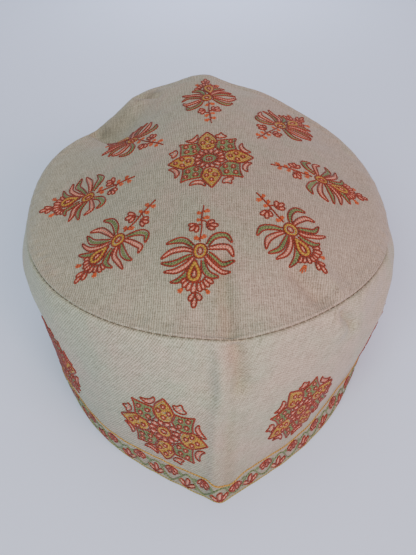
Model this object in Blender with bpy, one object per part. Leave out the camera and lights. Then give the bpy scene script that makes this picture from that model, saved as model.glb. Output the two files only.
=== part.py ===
# Soft embroidered wool cap: a round crown panel sewn to an upright side band.
#
# Frame: metres, +Z up, the front crease towards -Y, the wearer's left towards +X.
# The rim stands on z = 0, and the origin is the bottom centre of the cap's own box.
# Lengths below are millimetres until the meshes are made.
#
# Both pieces are walls of cloth. Their outer faces are height and radius functions
# of a turn round the cap and a place along the panel, so a change to one driving
# size carries the seam, the walls and the rim with it.

import math

import bpy
import numpy as np

MM = 0.001

# Seam between crown and band, seen in plan as an ellipse
SEAM_HALF_WIDTH = 86.0
SEAM_HALF_LENGTH = 90.0
SEAM_HEIGHT = 84.0
SEAM_TILT_DEG = 3.0
SEAM_SADDLE = 10.0
SEAM_POINT = 2.3
SEAM_BACK_TAPER = 0.04
SEAM_GAP = 0.4

# Crown panel above the seam
CROWN_RISE = 19.0
CROWN_LEAN_RIGHT = 6.5
CROWN_LEAN_BACK = -1.5
CROWN_BARREL = -9.5
CROWN_BACK_FILL = 2.5
CROWN_SKEW = -5.0
CROWN_SLACK = -12.0
BACK_RIDGE = 19.0
BACK_RIDGE_WIDTH = 0.34
BACK_RIDGE_ROUNDNESS = 1.35

# At the sides of the head the crown's edge rolls down to the seam: how far, from what
# share of the way out, and at what turn from the front with what reach
EDGE_ROLL_DROP = 7.5
EDGE_ROLL_START = 0.89
EDGE_ROLL_BEND = 0.98
EDGE_ROLL_TURN_DEG = 92.0
EDGE_ROLL_REACH_DEG = 27.0

# Rim of the side band, an ellipse drawn out to a point by the pressed creases
RIM_HALF_WIDTH = 82.0
RIM_HALF_LENGTH = 95.5
RIM_BACK_SHIFT = -4.5
FRONT_POINT = 14.5
BACK_POINT = 4.0
POINT_WIDTH = 0.26
BAND_FULLNESS = 4.5
FULLNESS_HEIGHT = 0.62

# The front crease wanders: this far round the cap at the seam and at the rim
CREASE_TURN_AT_SEAM_DEG = 8.0
CREASE_TURN_AT_RIM_DEG = 3.4

# Cloth
CLOTH_WALL = 1.6
HEM_WALL = 2.6
HEM_SHARE = 0.14

# Stations round the cap, and rows from the centre out and from the seam down
STATIONS = 88
CROWN_ROWS = (0.0, 0.14, 0.28, 0.42, 0.55, 0.66, 0.76, 0.84, 0.89, 0.925, 0.955, 0.98, 1.0)
BAND_ROWS = (0.0, 0.04, 0.10, 0.18, 0.28, 0.40, 0.54, 0.68, 0.80, 0.86, 0.93, 1.0)

# Hollows and fullnesses of the crown: place as shares of the seam's half width and
# half length (right, back), reach as a share too, depth in millimetres
CROWN_FORMS = (
    {"form": "fallen hollow, upper left", "right": -0.60, "back": 0.62, "reach": 0.20, "depth": 7.0},
    {"form": "full lobe behind the hollow", "right": -0.38, "back": 0.86, "reach": 0.15, "depth": -3.0},
    {"form": "slack beside the crease", "right": 0.10, "back": -0.84, "reach": 0.12, "depth": 0.8},
    {"form": "full left of the back ridge", "right": -0.12, "back": 0.92, "reach": 0.14, "depth": -2.4},
    {"form": "slack right of the back ridge", "right": 0.12, "back": 0.90, "reach": 0.16, "depth": 1.9},
    {"form": "full back shoulder", "right": 0.35, "back": 0.84, "reach": 0.18, "depth": -1.6},
)

# The seam was cut and sewn by hand: how far it stands out from its ellipse, in
# millimetres, at turns in degrees from the front towards the wearer's left
SEAM_FORM_WIDTH_DEG = 17.0
SEAM_FORMS = (
    {"turn": -150.0, "out": 4.8},
    {"turn": -130.0, "out": 2.8},
    {"turn": -110.0, "out": 6.5},
    {"turn": -92.0, "out": 1.9},
    {"turn": 36.0, "out": -0.9},
    {"turn": 72.0, "out": -0.5},
    {"turn": 90.0, "out": 1.0},
    {"turn": 108.0, "out": 2.6},
    {"turn": 126.0, "out": 1.7},
)

# Hollows and fullnesses of the band: turn in degrees from the front towards the
# wearer's left and its reach, place from the seam (0) to the rim (1) and its reach,
# and depth in millimetres
BAND_FORMS = (
    {"form": "flat right cheek", "turn": -70.0, "wide": 28.0, "down": 0.40, "tall": 0.34, "depth": 2.5},
    {"form": "full left cheek", "turn": 62.0, "wide": 22.0, "down": 0.50, "tall": 0.30, "depth": -1.0},
    {"form": "valley by the crease", "turn": -3.0, "wide": 5.0, "down": 0.16, "tall": 0.12, "depth": 1.2},
    {"form": "dimple at the seam", "turn": 58.0, "wide": 7.0, "down": 0.16, "tall": 0.08, "depth": 1.2},
    {"form": "lobe at the back", "turn": -150.0, "wide": 16.0, "down": 0.10, "tall": 0.14, "depth": -3.0},
    {"form": "full right shoulder", "turn": -84.0, "wide": 18.0, "down": 0.16, "tall": 0.14, "depth": -3.0},
    {"form": "full right brow", "turn": -66.0, "wide": 18.0, "down": 0.20, "tall": 0.16, "depth": -1.5},
    {"form": "full left shoulder", "turn": 84.0, "wide": 18.0, "down": 0.16, "tall": 0.14, "depth": -3.6},
    {"form": "slack left cheek", "turn": 84.0, "wide": 18.0, "down": 0.40, "tall": 0.20, "depth": 2.7},
    {"form": "slack above the left rim", "turn": 44.0, "wide": 18.0, "down": 0.78, "tall": 0.20, "depth": 3.8},
)


def bell(distance):
    """A smooth bump: 1 where distance is 0, falling to nothing past about 2."""
    return np.exp(-np.square(distance))


def wrapped(angle):
    """The angle brought into the half turn on either side of the front."""
    return (angle + math.pi) % (2.0 * math.pi) - math.pi


def seam_height(right, back):
    """Height of the seam's tilted saddle over a place in the plan.

    The seam rises evenly to the back by its tilt. Because the crown bends like a
    barrel along the head, the seam is also higher at front and back than at the
    sides, by the saddle.
    """
    tilt = math.tan(math.radians(SEAM_TILT_DEG)) * SEAM_HALF_LENGTH
    span = np.square(right) + np.square(back)
    return SEAM_HEIGHT + tilt * back + SEAM_SADDLE * (np.square(back) - 0.5 * span)


def edge_roll(right, back):
    """How far the crown's edge has rolled down at a place in the plan.

    The section is part of a circle, flat where it starts and steep at the seam. It
    fades out towards the front and the back.
    """
    share = np.hypot(right, back)
    turn = np.abs(np.arctan2(right, -back))
    bent = EDGE_ROLL_BEND * np.clip((share - EDGE_ROLL_START) / (1.0 - EDGE_ROLL_START), 0.0, 1.0)
    section = (1.0 - np.sqrt(1.0 - bent ** 2)) / (1.0 - math.sqrt(1.0 - EDGE_ROLL_BEND ** 2))
    from_side = (turn - math.radians(EDGE_ROLL_TURN_DEG)) / math.radians(EDGE_ROLL_REACH_DEG)
    return EDGE_ROLL_DROP * section * bell(from_side)


def crown_height(right, back):
    """Height of the crown's outer face over a place in the plan.

    A dome that is zero at the seam and leans, bends and sags by its shares, plus a
    ridge along the back half and the hollows and lobes of the table, less the roll
    of the edge.
    """
    span = np.square(right) + np.square(back)
    dome = (CROWN_RISE + CROWN_LEAN_RIGHT * right + CROWN_LEAN_BACK * back
            + CROWN_BARREL * np.square(right) + CROWN_BACK_FILL * np.square(back)
            + CROWN_SKEW * right * back + CROWN_SLACK * np.square(span))
    aside = np.abs(right) / BACK_RIDGE_WIDTH
    crest = np.exp(-aside ** BACK_RIDGE_ROUNDNESS) * np.square(np.maximum(0.0, back))
    height = seam_height(right, back) + (1.0 - span) * dome
    height = height + BACK_RIDGE * crest * (1.0 - 0.5 * np.square(span)) - edge_roll(right, back)
    for row in CROWN_FORMS:
        away = np.hypot(right - row["right"], back - row["back"]) / row["reach"]
        height = height - row["depth"] * bell(away)
    return height


def crown_points(share, turn):
    """Outer face of the crown at a share of the way out and a turn from the front.

    The plan is the seam's ellipse shrunk by the share, a little narrower towards
    the back, drawn out a little towards the front crease and by the seam's table.
    """
    right = share * np.sin(turn)
    back = -share * np.cos(turn)
    aside = np.abs(wrapped(turn - math.radians(CREASE_TURN_AT_SEAM_DEG)))
    standing_out = SEAM_POINT * np.exp(-aside / POINT_WIDTH)
    for row in SEAM_FORMS:
        from_form = wrapped(turn - math.radians(row["turn"])) / math.radians(SEAM_FORM_WIDTH_DEG)
        standing_out = standing_out + row["out"] * bell(from_form)
    standing_out = standing_out * share ** 4
    narrowing = 1.0 - SEAM_BACK_TAPER * np.maximum(0.0, back)
    x = SEAM_HALF_WIDTH * right * narrowing + standing_out * np.sin(turn)
    y = SEAM_HALF_LENGTH * back - standing_out * np.cos(turn)
    return np.stack([x, y, crown_height(right, back)], axis=-1)


def rim_points(turn):
    """Rim in plan: an ellipse drawn out to a point at the front and at the back."""
    from_crease = np.abs(wrapped(turn - math.radians(CREASE_TURN_AT_RIM_DEG)))
    from_back = np.abs(wrapped(turn - math.pi))
    front = FRONT_POINT * np.exp(-from_crease / POINT_WIDTH)
    rear = BACK_POINT * np.exp(-from_back / POINT_WIDTH)
    x = (RIM_HALF_WIDTH + front + rear) * np.sin(turn)
    y = RIM_BACK_SHIFT - (RIM_HALF_LENGTH + front + rear) * np.cos(turn)
    return np.stack([x, y, np.zeros_like(turn)], axis=-1)


def band_points(down, turn):
    """Outer face of the band at a place from the seam (0) to the rim (1).

    Straight rulings join the seam to the rim. They are pushed outwards by the
    fullness, which is greatest a third of the way down, and by the table's forms.
    """
    top = crown_points(np.ones_like(turn), turn)
    outline = top + (rim_points(turn) - top) * down[..., None]
    push = BAND_FULLNESS * np.sin(math.pi * down ** FULLNESS_HEIGHT)
    for row in BAND_FORMS:
        round_way = wrapped(turn - math.radians(row["turn"])) / math.radians(row["wide"])
        down_way = (down - row["down"]) / row["tall"]
        edges_held = np.minimum(1.0, 1.6 * np.sin(math.pi * np.minimum(1.0, down)))
        push = push - row["depth"] * bell(np.hypot(round_way, down_way)) * edges_held
    outward = np.stack([np.sin(turn), -np.cos(turn), np.zeros_like(turn)], axis=-1)
    return outline + outward * push[..., None]


def station_turns(crease_turn_deg):
    """Turns of the stations, evenly spaced and then pulled round at the front.

    The pull puts the first station on the crease and fades out towards the back.
    """
    even = np.arange(STATIONS) * (2.0 * math.pi / STATIONS)
    fade = np.square(0.5 + 0.5 * np.cos(even))
    return even + math.radians(crease_turn_deg) * fade


def face_normals(grid):
    """Outward unit normals of a grid of points, rows by stations, closed round."""
    along = np.gradient(grid, axis=0)
    around = np.roll(grid, -1, axis=1) - np.roll(grid, 1, axis=1)
    normal = np.cross(along, around)
    length = np.linalg.norm(normal, axis=-1, keepdims=True)
    return normal / np.maximum(length, 1e-9)


def seam_mitre(crown_normal, band_normal):
    """Step from the seam's outer line to its inner one, half way between the walls."""
    middle = crown_normal + band_normal
    middle = middle / np.linalg.norm(middle, axis=-1, keepdims=True)
    open_angle = np.sum(middle * crown_normal, axis=-1, keepdims=True)
    return -middle * CLOTH_WALL / open_angle


def outer_grids():
    """The outer faces of crown and band as grids, with the box's centre over 0, 0."""
    seam_turns = station_turns(CREASE_TURN_AT_SEAM_DEG)
    crown = np.stack([crown_points(np.full(STATIONS, share), seam_turns) for share in CROWN_ROWS])
    rows = []
    for down in BAND_ROWS:
        crease = CREASE_TURN_AT_SEAM_DEG + (CREASE_TURN_AT_RIM_DEG - CREASE_TURN_AT_SEAM_DEG) * down
        rows.append(band_points(np.full(STATIONS, down), station_turns(crease)))
    band = np.stack(rows)
    plan = np.concatenate([crown.reshape(-1, 3), band.reshape(-1, 3)])[:, :2]
    centre = 0.5 * (plan.min(axis=0) + plan.max(axis=0))
    crown[..., :2] -= centre
    band[..., :2] -= centre
    return crown, band


def crown_panel_mesh(crown, mitre):
    """Closed wall of the crown: outer face, mitred edge and inner face, two poles."""
    normals = face_normals(crown)
    lift = np.array([0.0, 0.0, 0.5 * SEAM_GAP])
    outer = crown.copy()
    outer[-1] = outer[-1] + lift
    inner = outer - normals * CLOTH_WALL
    inner[-1] = outer[-1] + mitre
    top = outer[0, 0]
    under = top - np.array([0.0, 0.0, CLOTH_WALL])
    loops = list(outer[1:]) + list(inner[:0:-1])
    return loops, (top, under)


def side_band_mesh(band, mitre):
    """Closed wall of the band: outer face, flat rim and inner face, joined round."""
    normals = face_normals(band)
    drop = np.array([0.0, 0.0, 0.5 * SEAM_GAP])
    outer = band.copy()
    outer[0] = outer[0] - drop
    level = normals.copy()
    level[..., 2] = 0.0
    level = level / np.linalg.norm(level, axis=-1, keepdims=True)
    inner = outer.copy()
    for index, down in enumerate(BAND_ROWS):
        wall = HEM_WALL if down >= 1.0 - HEM_SHARE else CLOTH_WALL
        inner[index] = outer[index] - level[index] * wall
    inner[0] = outer[0] + mitre
    return list(outer) + list(inner[::-1])


def closed_mesh(name, loops, poles=None):
    """Mesh through a list of equal loops; the ends meet poles or each other."""
    count = len(loops[0])
    points = [tuple(point * MM) for loop in loops for point in loop]
    faces = []
    last = len(loops) - 1 if poles is not None else len(loops)
    for row in range(last):
        this_row = row * count
        next_row = ((row + 1) % len(loops)) * count
        for station in range(count):
            after = (station + 1) % count
            faces.append((this_row + station, next_row + station, next_row + after, this_row + after))
    if poles is not None:
        first_pole = len(points)
        points.extend(tuple(pole * MM) for pole in poles)
        end = (len(loops) - 1) * count
        for station in range(count):
            after = (station + 1) % count
            faces.append((first_pole, station, after))
            faces.append((first_pole + 1, end + after, end + station))
    mesh = bpy.data.meshes.new(name)
    mesh.from_pydata(points, [], faces)
    mesh.validate()
    mesh.shade_smooth()
    mesh.set_sharp_from_angle(angle=math.radians(35.0))
    return mesh


def cloth_material(name, colour):
    """Plain greige wool."""
    material = bpy.data.materials.new(name)
    material.use_nodes = True
    shader = material.node_tree.nodes["Principled BSDF"]
    shader.inputs["Base Color"].default_value = colour
    shader.inputs["Roughness"].default_value = 0.9
    shader.inputs["Metallic"].default_value = 0.0
    return material


def add_piece(name, mesh, material):
    """Put a mesh into the scene as one named sub-part."""
    piece = bpy.data.objects.new(name, mesh)
    piece.data.materials.append(material)
    bpy.context.scene.collection.objects.link(piece)
    return piece


for old in list(bpy.data.objects):
    bpy.data.objects.remove(old, do_unlink=True)

crown_grid, band_grid = outer_grids()
mitre_step = seam_mitre(face_normals(crown_grid)[-1], face_normals(band_grid)[0])
crown_loops, crown_poles = crown_panel_mesh(crown_grid, mitre_step)
band_loops = side_band_mesh(band_grid, mitre_step)
add_piece("crown_panel", closed_mesh("crown_panel", crown_loops, crown_poles),
          cloth_material("crown wool", (0.44, 0.40, 0.34, 1.0)))
add_piece("side_band", closed_mesh("side_band", band_loops),
          cloth_material("band wool", (0.42, 0.38, 0.32, 1.0)))
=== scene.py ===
# Soft embroidered cap of greige wool, with its cloth, its chain-stitch embroidery,
# the pale floor that it stands on, the light and the camera.
#
# Places on the cloth are flat ones, in millimetres, as on the cut pieces: on the crown
# to the right and back of its centre, on the band along the rim from the front and up
# from the rim. Two surface functions lay flat places on the worn shape of the cap.
# Right and left are those of someone who looks at the cap from in front.

import math

import bpy
import numpy as np
from mathutils import Matrix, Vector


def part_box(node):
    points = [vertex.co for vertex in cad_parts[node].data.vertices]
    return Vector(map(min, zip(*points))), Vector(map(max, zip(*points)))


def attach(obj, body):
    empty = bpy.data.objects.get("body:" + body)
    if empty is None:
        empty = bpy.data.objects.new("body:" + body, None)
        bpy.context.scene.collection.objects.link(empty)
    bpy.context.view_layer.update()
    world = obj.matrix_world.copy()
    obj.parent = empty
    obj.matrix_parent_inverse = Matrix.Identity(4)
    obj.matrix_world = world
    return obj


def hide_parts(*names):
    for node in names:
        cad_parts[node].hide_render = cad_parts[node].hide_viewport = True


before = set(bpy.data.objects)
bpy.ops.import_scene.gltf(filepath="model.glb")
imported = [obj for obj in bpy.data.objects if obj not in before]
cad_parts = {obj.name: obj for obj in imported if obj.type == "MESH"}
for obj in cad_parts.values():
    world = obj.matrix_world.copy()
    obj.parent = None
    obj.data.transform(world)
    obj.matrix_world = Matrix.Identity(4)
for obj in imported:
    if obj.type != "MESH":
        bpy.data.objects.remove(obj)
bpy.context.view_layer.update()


# Crown panel: one round of fine wool, woven with ribs that run from front to back. It
# is cut by hand, so it sits unevenly, and its edge is turned under and sewn to the
# band, which leaves a lip and small puckers along the seam.

MM = 0.001
SEAM_HALF_WIDTH = 86.0
SEAM_HALF_LENGTH = 90.0
SEAM_HEIGHT = 84.0
SEAM_TILT_DEG = 3.0
SEAM_SADDLE = 10.0
SEAM_POINT = 2.3
SEAM_BACK_TAPER = 0.04
CROWN_RISE = 19.0
CROWN_LEAN_RIGHT = 6.5
CROWN_LEAN_BACK = -1.5
CROWN_BARREL = -9.5
CROWN_BACK_FILL = 2.5
CROWN_SKEW = -5.0
CROWN_SLACK = -12.0
BACK_RIDGE = 19.0
BACK_RIDGE_WIDTH = 0.34
BACK_RIDGE_ROUNDNESS = 1.35
EDGE_ROLL_DROP = 7.5
EDGE_ROLL_START = 0.89
EDGE_ROLL_BEND = 0.98
EDGE_ROLL_TURN = math.radians(92.0)
EDGE_ROLL_REACH = math.radians(27.0)
POINT_WIDTH = 0.26
CREASE_TURN_AT_SEAM = math.radians(8.0)
CREASE_ROUNDING = 0.018
CLOTH_WALL = 1.6
STATIONS = 480


def table(*columns, rows):
    """Rows of a table with named columns: each value under its column's name."""
    return [dict(zip(columns, row, strict=True)) for row in rows]


# Soft folds of the crown: straight runs in flat places, half width and depth, in
# millimetres, and the share of painted shade along them; a depth below zero is a ridge
CROWN_FOLDS = table("fold", "start", "end", "half", "depth", "shade_share", rows=(
    ("pinch at the fallen hollow", (-70.0, 62.0), (-50.0, 48.0), 3.2, 3.2, 0.0),
    ("full roll beside the pinch", (-59.0, 68.0), (-46.0, 76.5), 7.0, -3.0, 0.0),
    ("crease of the small lobe", (-43.0, 80.0), (-31.0, 74.0), 1.7, 1.7, 0.0),
    ("valley behind the front crease", (6.5, -60.0), (9.5, -95.0), 3.3, 2.2, 0.6),
    ("slack left of the crease", (-2.0, -74.0), (2.0, -95.0), 4.2, 1.2, 0.0),
    ("fold to the right cheek", (38.5, -63.0), (46.5, -71.0), 4.6, 2.4, 0.4),
    ("roll beside the fold", (48.0, -60.0), (55.0, -66.0), 5.0, -1.8, 0.0),
))

# Hollows and fullnesses: place and reach as shares of the crown, depth in millimetres
CROWN_FORMS = table("form", "right", "back", "reach", "depth", rows=(
    ("fallen hollow, upper left", -0.6, 0.62, 0.2, 7.0),
    ("full lobe behind the hollow", -0.38, 0.86, 0.15, -3.0),
    ("slack beside the crease", 0.1, -0.84, 0.12, 0.8),
    ("full left of the back ridge", -0.12, 0.92, 0.14, -2.4),
    ("slack right of the back ridge", 0.12, 0.9, 0.16, 1.9),
    ("full back shoulder", 0.35, 0.84, 0.18, -1.6),
))

# How far the seam stands out from its ellipse, in millimetres, at turns in degrees
SEAM_FORM_WIDTH = math.radians(17.0)
SEAM_FORMS = table("turn", "out", rows=(
    (-150.0, 4.8),
    (-130.0, 2.8),
    (-110.0, 6.5),
    (-92.0, 1.9),
    (36.0, -0.9),
    (72.0, -0.5),
    (90.0, 1.0),
    (108.0, 2.6),
    (126.0, 1.7),
))


def bell(distance):
    """Smooth bump: e to the minus distance squared, 1 in the middle and 0 past 2."""
    return np.exp(-np.square(distance))


def eased(value):
    """Smooth step from 0 to 1 as value goes from 0 to 1: 3 v squared less 2 v cubed."""
    held = np.clip(value, 0.0, 1.0)
    return held * held * (3.0 - 2.0 * held)


def wrapped(angle):
    """The angle brought within half a turn of the front."""
    return (angle + math.pi) % (2.0 * math.pi) - math.pi


def folded(angle):
    """Size of an angle from a pressed fold, rounded where the cloth bends."""
    return np.sqrt(np.square(wrapped(angle)) + CREASE_ROUNDING ** 2) - CREASE_ROUNDING


def edge_roll(right, back):
    """How far the crown's edge has rolled down to the seam at the sides of the head.

    The section is part of a circle, flat where it starts and steep at the seam.
    """
    share = np.hypot(right, back)
    turn = np.abs(np.arctan2(right, -back))
    bent = EDGE_ROLL_BEND * np.clip((share - EDGE_ROLL_START) / (1.0 - EDGE_ROLL_START), 0.0, 1.0)
    section = (1.0 - np.sqrt(1.0 - bent ** 2)) / (1.0 - math.sqrt(1.0 - EDGE_ROLL_BEND ** 2))
    return EDGE_ROLL_DROP * section * bell((turn - EDGE_ROLL_TURN) / EDGE_ROLL_REACH)


def crown_height(right, back):
    """Height of the crown over a place in its plan, given as shares of the seam.

    The seam is a tilted saddle. Over it stands a dome, zero at the seam, that leans,
    bends like a barrel and sags, with a ridge along the back half and the hollows of
    the table.
    """
    tilt = math.tan(math.radians(SEAM_TILT_DEG)) * SEAM_HALF_LENGTH
    span = np.square(right) + np.square(back)
    seam = SEAM_HEIGHT + tilt * back + SEAM_SADDLE * (np.square(back) - 0.5 * span)
    dome = (CROWN_RISE + CROWN_LEAN_RIGHT * right + CROWN_LEAN_BACK * back
            + CROWN_BARREL * np.square(right) + CROWN_BACK_FILL * np.square(back)
            + CROWN_SKEW * right * back + CROWN_SLACK * np.square(span))
    aside = np.abs(right) / BACK_RIDGE_WIDTH
    crest = np.exp(-aside ** BACK_RIDGE_ROUNDNESS) * np.square(np.maximum(0.0, back))
    height = seam + (1.0 - span) * dome + BACK_RIDGE * crest * (1.0 - 0.5 * np.square(span))
    height = height - edge_roll(right, back)
    for row in CROWN_FORMS:
        away = np.hypot(right - row["right"], back - row["back"]) / row["reach"]
        height = height - row["depth"] * bell(away)
    return height


def crown_form(share, turn):
    """Crown at a share of the way out and a turn from the front: an ellipse in plan.

    It narrows a little to the back and is drawn out at the front crease and by the
    seam's table.
    """
    right = share * np.sin(turn)
    back = -share * np.cos(turn)
    standing_out = SEAM_POINT * np.exp(-folded(turn - CREASE_TURN_AT_SEAM) / POINT_WIDTH)
    for row in SEAM_FORMS:
        from_form = wrapped(turn - math.radians(row["turn"])) / SEAM_FORM_WIDTH
        standing_out = standing_out + row["out"] * bell(from_form)
    standing_out = standing_out * share ** 4
    narrowing = 1.0 - SEAM_BACK_TAPER * np.maximum(0.0, back)
    x = SEAM_HALF_WIDTH * right * narrowing + standing_out * np.sin(turn)
    y = SEAM_HALF_LENGTH * back - standing_out * np.cos(turn)
    return np.stack([x, y, crown_height(right, back)], axis=-1)


def running_length(line):
    """Length run along the first axis of an array of points, starting from zero."""
    steps = np.linalg.norm(np.diff(line, axis=0), axis=-1)
    return np.concatenate([np.zeros_like(steps[:1]), np.cumsum(steps, axis=0)])


# The crown's plain solid tells where its centre stands in the frame
seam_turns = np.linspace(-math.pi, math.pi, 720, endpoint=False)
seam_ring = crown_form(np.ones_like(seam_turns), seam_turns)[:, :2]
crown_low, crown_high = (np.array(corner)[:2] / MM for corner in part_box("crown_panel"))
CAP_CENTRE = 0.5 * (crown_low + crown_high) - 0.5 * (seam_ring.min(axis=0) + seam_ring.max(axis=0))

# Shares of the way out for even steps along the cloth, for each degree of turn; they
# are read from places that lie closest together at the seam, where the dome is steep
EVEN_STEPS = 400
turn_table = np.linspace(-math.pi, math.pi, 361)
share_table = 1.0 - np.linspace(1.0, 0.0, EVEN_STEPS + 1) ** 1.5
reach_table = running_length(crown_form(share_table[:, None], turn_table[None, :]))
crown_reach = reach_table[-1]
even_steps = np.linspace(0.0, 1.0, EVEN_STEPS + 1)
even_shares = np.stack([np.interp(even_steps * column[-1], column, share_table)
                        for column in reach_table.T])


def crown_shape(right, back):
    """Smooth crown at a flat place: out along the cloth from the centre, in its direction.

    The share of the way out is read between the four nearest entries of the table of
    even steps, and carried straight on past the seam.
    """
    turn = np.arctan2(right, -back)
    out = np.hypot(right, back) / np.interp(turn, turn_table, crown_reach)
    column = np.clip((turn + math.pi) / math.radians(1.0), 0.0, 359.999)
    row = np.clip(out * EVEN_STEPS, 0.0, EVEN_STEPS - 0.001)
    c, r = column.astype(int), row.astype(int)
    fc, fr = column - c, row - r
    share = ((even_shares[c, r] * (1 - fr) + even_shares[c, r + 1] * fr) * (1 - fc)
             + (even_shares[c + 1, r] * (1 - fr) + even_shares[c + 1, r + 1] * fr) * fc)
    share = share + np.maximum(0.0, out - 1.0)
    points = crown_form(share, turn)
    points[..., :2] += CAP_CENTRE
    return points


def ripples(seed, count, shortest, longest):
    """Directions, phases and sizes of seeded waves for the soft unevenness of cloth."""
    dice = np.random.default_rng(seed)
    heading = dice.uniform(0.0, math.pi, count)
    length = dice.uniform(shortest, longest, count)
    return {"x": np.cos(heading) / length, "y": np.sin(heading) / length,
            "phase": dice.uniform(0.0, 1.0, count), "size": length / longest / math.sqrt(count)}


def rippled(waves, x, y):
    """Sum of sine waves at flat places, about 1 high in all."""
    turns = (x[..., None] * waves["x"] + y[..., None] * waves["y"] + waves["phase"])
    return np.sum(waves["size"] * np.sin(2.0 * math.pi * turns), axis=-1)


def folds_at(rows, x, y):
    """Depth of the folds at flat places: a bell of the distance from each run."""
    total = np.zeros(np.broadcast(x, y).shape)
    for row in rows:
        start, end = np.array(row["start"]), np.array(row["end"])
        run = end - start
        share = np.clip(((x - start[0]) * run[0] + (y - start[1]) * run[1]) / (run @ run), 0.0, 1.0)
        away = np.hypot(x - start[0] - share * run[0], y - start[1] - share * run[1])
        total = total + row["depth"] * bell(away / row["half"])
    return total


# Painted shade in the folds reaches this many times a fold's half width
FOLD_SHADE_SPREAD = 1.3


def fold_shade_at(rows, x, y):
    """Painted shade in the folds at flat places, 0 to 1: the share in the table along a
    fold, and a little wider than the fold is.
    """
    hollows = [dict(row, half=FOLD_SHADE_SPREAD * row["half"], depth=row["shade_share"]) for row in rows]
    return np.clip(folds_at(hollows, x, y), 0.0, 1.0)


# The cloth is painted paler at the front of the seam, as painted light from the front
FRONT_LIGHT_TURN = math.radians(-2.0)
FRONT_LIGHT_SPREAD = math.radians(63.0)
CROWN_FRONT_LIGHT_REACH = 46.0


def front_light_at(turn, from_seam, reach):
    """How much painted light the cloth has: 1 along the front of the seam, 0 past reach."""
    return eased(1.0 - from_seam / reach) * bell((wrapped(turn) - FRONT_LIGHT_TURN) / FRONT_LIGHT_SPREAD)


# Painted shade deep in the creases of the fallen back of the crown
CREASE_SHADE = table("crease", "start", "end", "half", "depth", rows=(
    ("slope above the pinch", (-64.0, 64.5), (-52.0, 70.0), 6.5, 1.2),
    ("pinch", (-64.0, 62.5), (-57.0, 61.0), 3.2, 1.0),
    ("small lobe", (-41.5, 77.0), (-31.0, 79.5), 2.2, 1.6),
))


crown_waves = ripples(seed=4, count=14, shortest=11.0, longest=42.0)
PUCKERS_PER_TURN = np.arange(36, 104)
seam_dice = np.random.default_rng(21)
pucker_phase = seam_dice.uniform(0.0, 2.0 * math.pi, len(PUCKERS_PER_TURN))
pucker_size = seam_dice.uniform(0.2, 1.0, len(PUCKERS_PER_TURN)) / math.sqrt(len(PUCKERS_PER_TURN))


def puckers(turn):
    """Uneven gathers round the seam: sine waves of 5 to 15 mm with seeded sizes."""
    waves = np.sin(turn[..., None] * PUCKERS_PER_TURN + pucker_phase)
    return np.sum(pucker_size * waves, axis=-1)


# Relief of the cloth: heights, and widths counted from the seam
COCKLE = 0.34
QUIET_EDGE = 8.0
LIP_HEIGHT = 0.3
LIP_PLACE = 1.0
LIP_WIDTH = 0.7
ALLOWANCE_WIDTH = 4.6
ALLOWANCE_SLOPE = 1.6
ALLOWANCE_HEIGHT = 0.34
PUCKER_HEIGHT = 0.26
PUCKER_REACH = 3.2
FOLD_PAST_SEAM = 0.5
FOLD_SLOPE = 2.5


def crown_place(right, back):
    """Turn from the front at a flat place of the crown, and how far it is in from the seam."""
    turn = np.arctan2(right, -back)
    return turn, np.interp(turn, turn_table, crown_reach) - np.hypot(right, back)


def crown_relief(right, back):
    """How far the cloth stands off the smooth crown at a flat place.

    Soft cockles all over, a lip beside the seam, the turned-under edge that shows
    through as a low step, and puckers along that step.
    """
    turn, inward = crown_place(right, back)
    lip = LIP_HEIGHT * bell((inward - LIP_PLACE) / LIP_WIDTH)
    step = ALLOWANCE_HEIGHT * eased((ALLOWANCE_WIDTH - inward) / ALLOWANCE_SLOPE + 0.5)
    pucker = PUCKER_HEIGHT * puckers(turn) * bell((inward - ALLOWANCE_WIDTH) / PUCKER_REACH)
    cockles = COCKLE * rippled(crown_waves, right, back) * eased(inward / QUIET_EDGE)
    folds = folds_at(CROWN_FOLDS, right, back) * eased((inward + FOLD_PAST_SEAM) / FOLD_SLOPE)
    return cockles + lip + step + pucker - folds


def unit(vectors):
    """Vectors divided by their lengths."""
    return vectors / np.maximum(np.linalg.norm(vectors, axis=-1, keepdims=True), 1e-9)


# Rise of the seam's outward direction for each millimetre out
SEAM_RISE = 1.05
SEAM_RISE_ROLLED = 0.1


def seam_outward(turn):
    """Direction that halves the angle between crown and band.

    It points out and up, and nearly straight out where the crown's edge has rolled down.
    """
    rolled = bell((np.abs(wrapped(turn)) - EDGE_ROLL_TURN) / EDGE_ROLL_REACH)
    rise = SEAM_RISE + (SEAM_RISE_ROLLED - SEAM_RISE) * rolled
    return unit(np.stack([np.sin(turn), -np.cos(turn), rise], axis=-1))


def facing(surface, u, v, step=0.25):
    """Outward unit normal of a surface: the cross product of its two slopes."""
    along_u = surface(u + step, v) - surface(u - step, v)
    along_v = surface(u, v + step) - surface(u, v - step)
    return unit(np.cross(along_u, along_v))


GROOVE_DEPTH = 0.72
GROOVE_WIDTH = 0.32
SEAM_HOLD = 0.6


def sewn_down(shape, relief, place, u, v):
    """Cloth over a smooth shape: moved out by its relief, which the seam holds down over
    SEAM_HOLD, and drawn in at the seam by a groove with the section of a bell.
    """
    turn, from_seam = place(u, v)
    lifted = facing(shape, u, v) * (relief(u, v) * eased(from_seam / SEAM_HOLD))[..., None]
    groove = seam_outward(turn) * (GROOVE_DEPTH * bell(from_seam / GROOVE_WIDTH))[..., None]
    return shape(u, v) + lifted - groove


def crown_cloth(right, back):
    """Outer face of the crown's cloth at a flat place: shape, relief and seam groove."""
    return sewn_down(crown_shape, crown_relief, crown_place, right, back)


def smooth_mesh(name, points, faces, map_name=None, map_places=None):
    """Mesh of points in millimetres, shaded smooth, with a UV map for its corners."""
    mesh = bpy.data.meshes.new(name)
    mesh.from_pydata((points.reshape(-1, 3) * MM).tolist(), [], faces)
    if map_name:
        layer = mesh.uv_layers.new(name=map_name)
        layer.uv.foreach_set("vector", map_places.astype(np.float32).ravel())
    mesh.shade_smooth()
    mesh.update()
    return mesh


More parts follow.
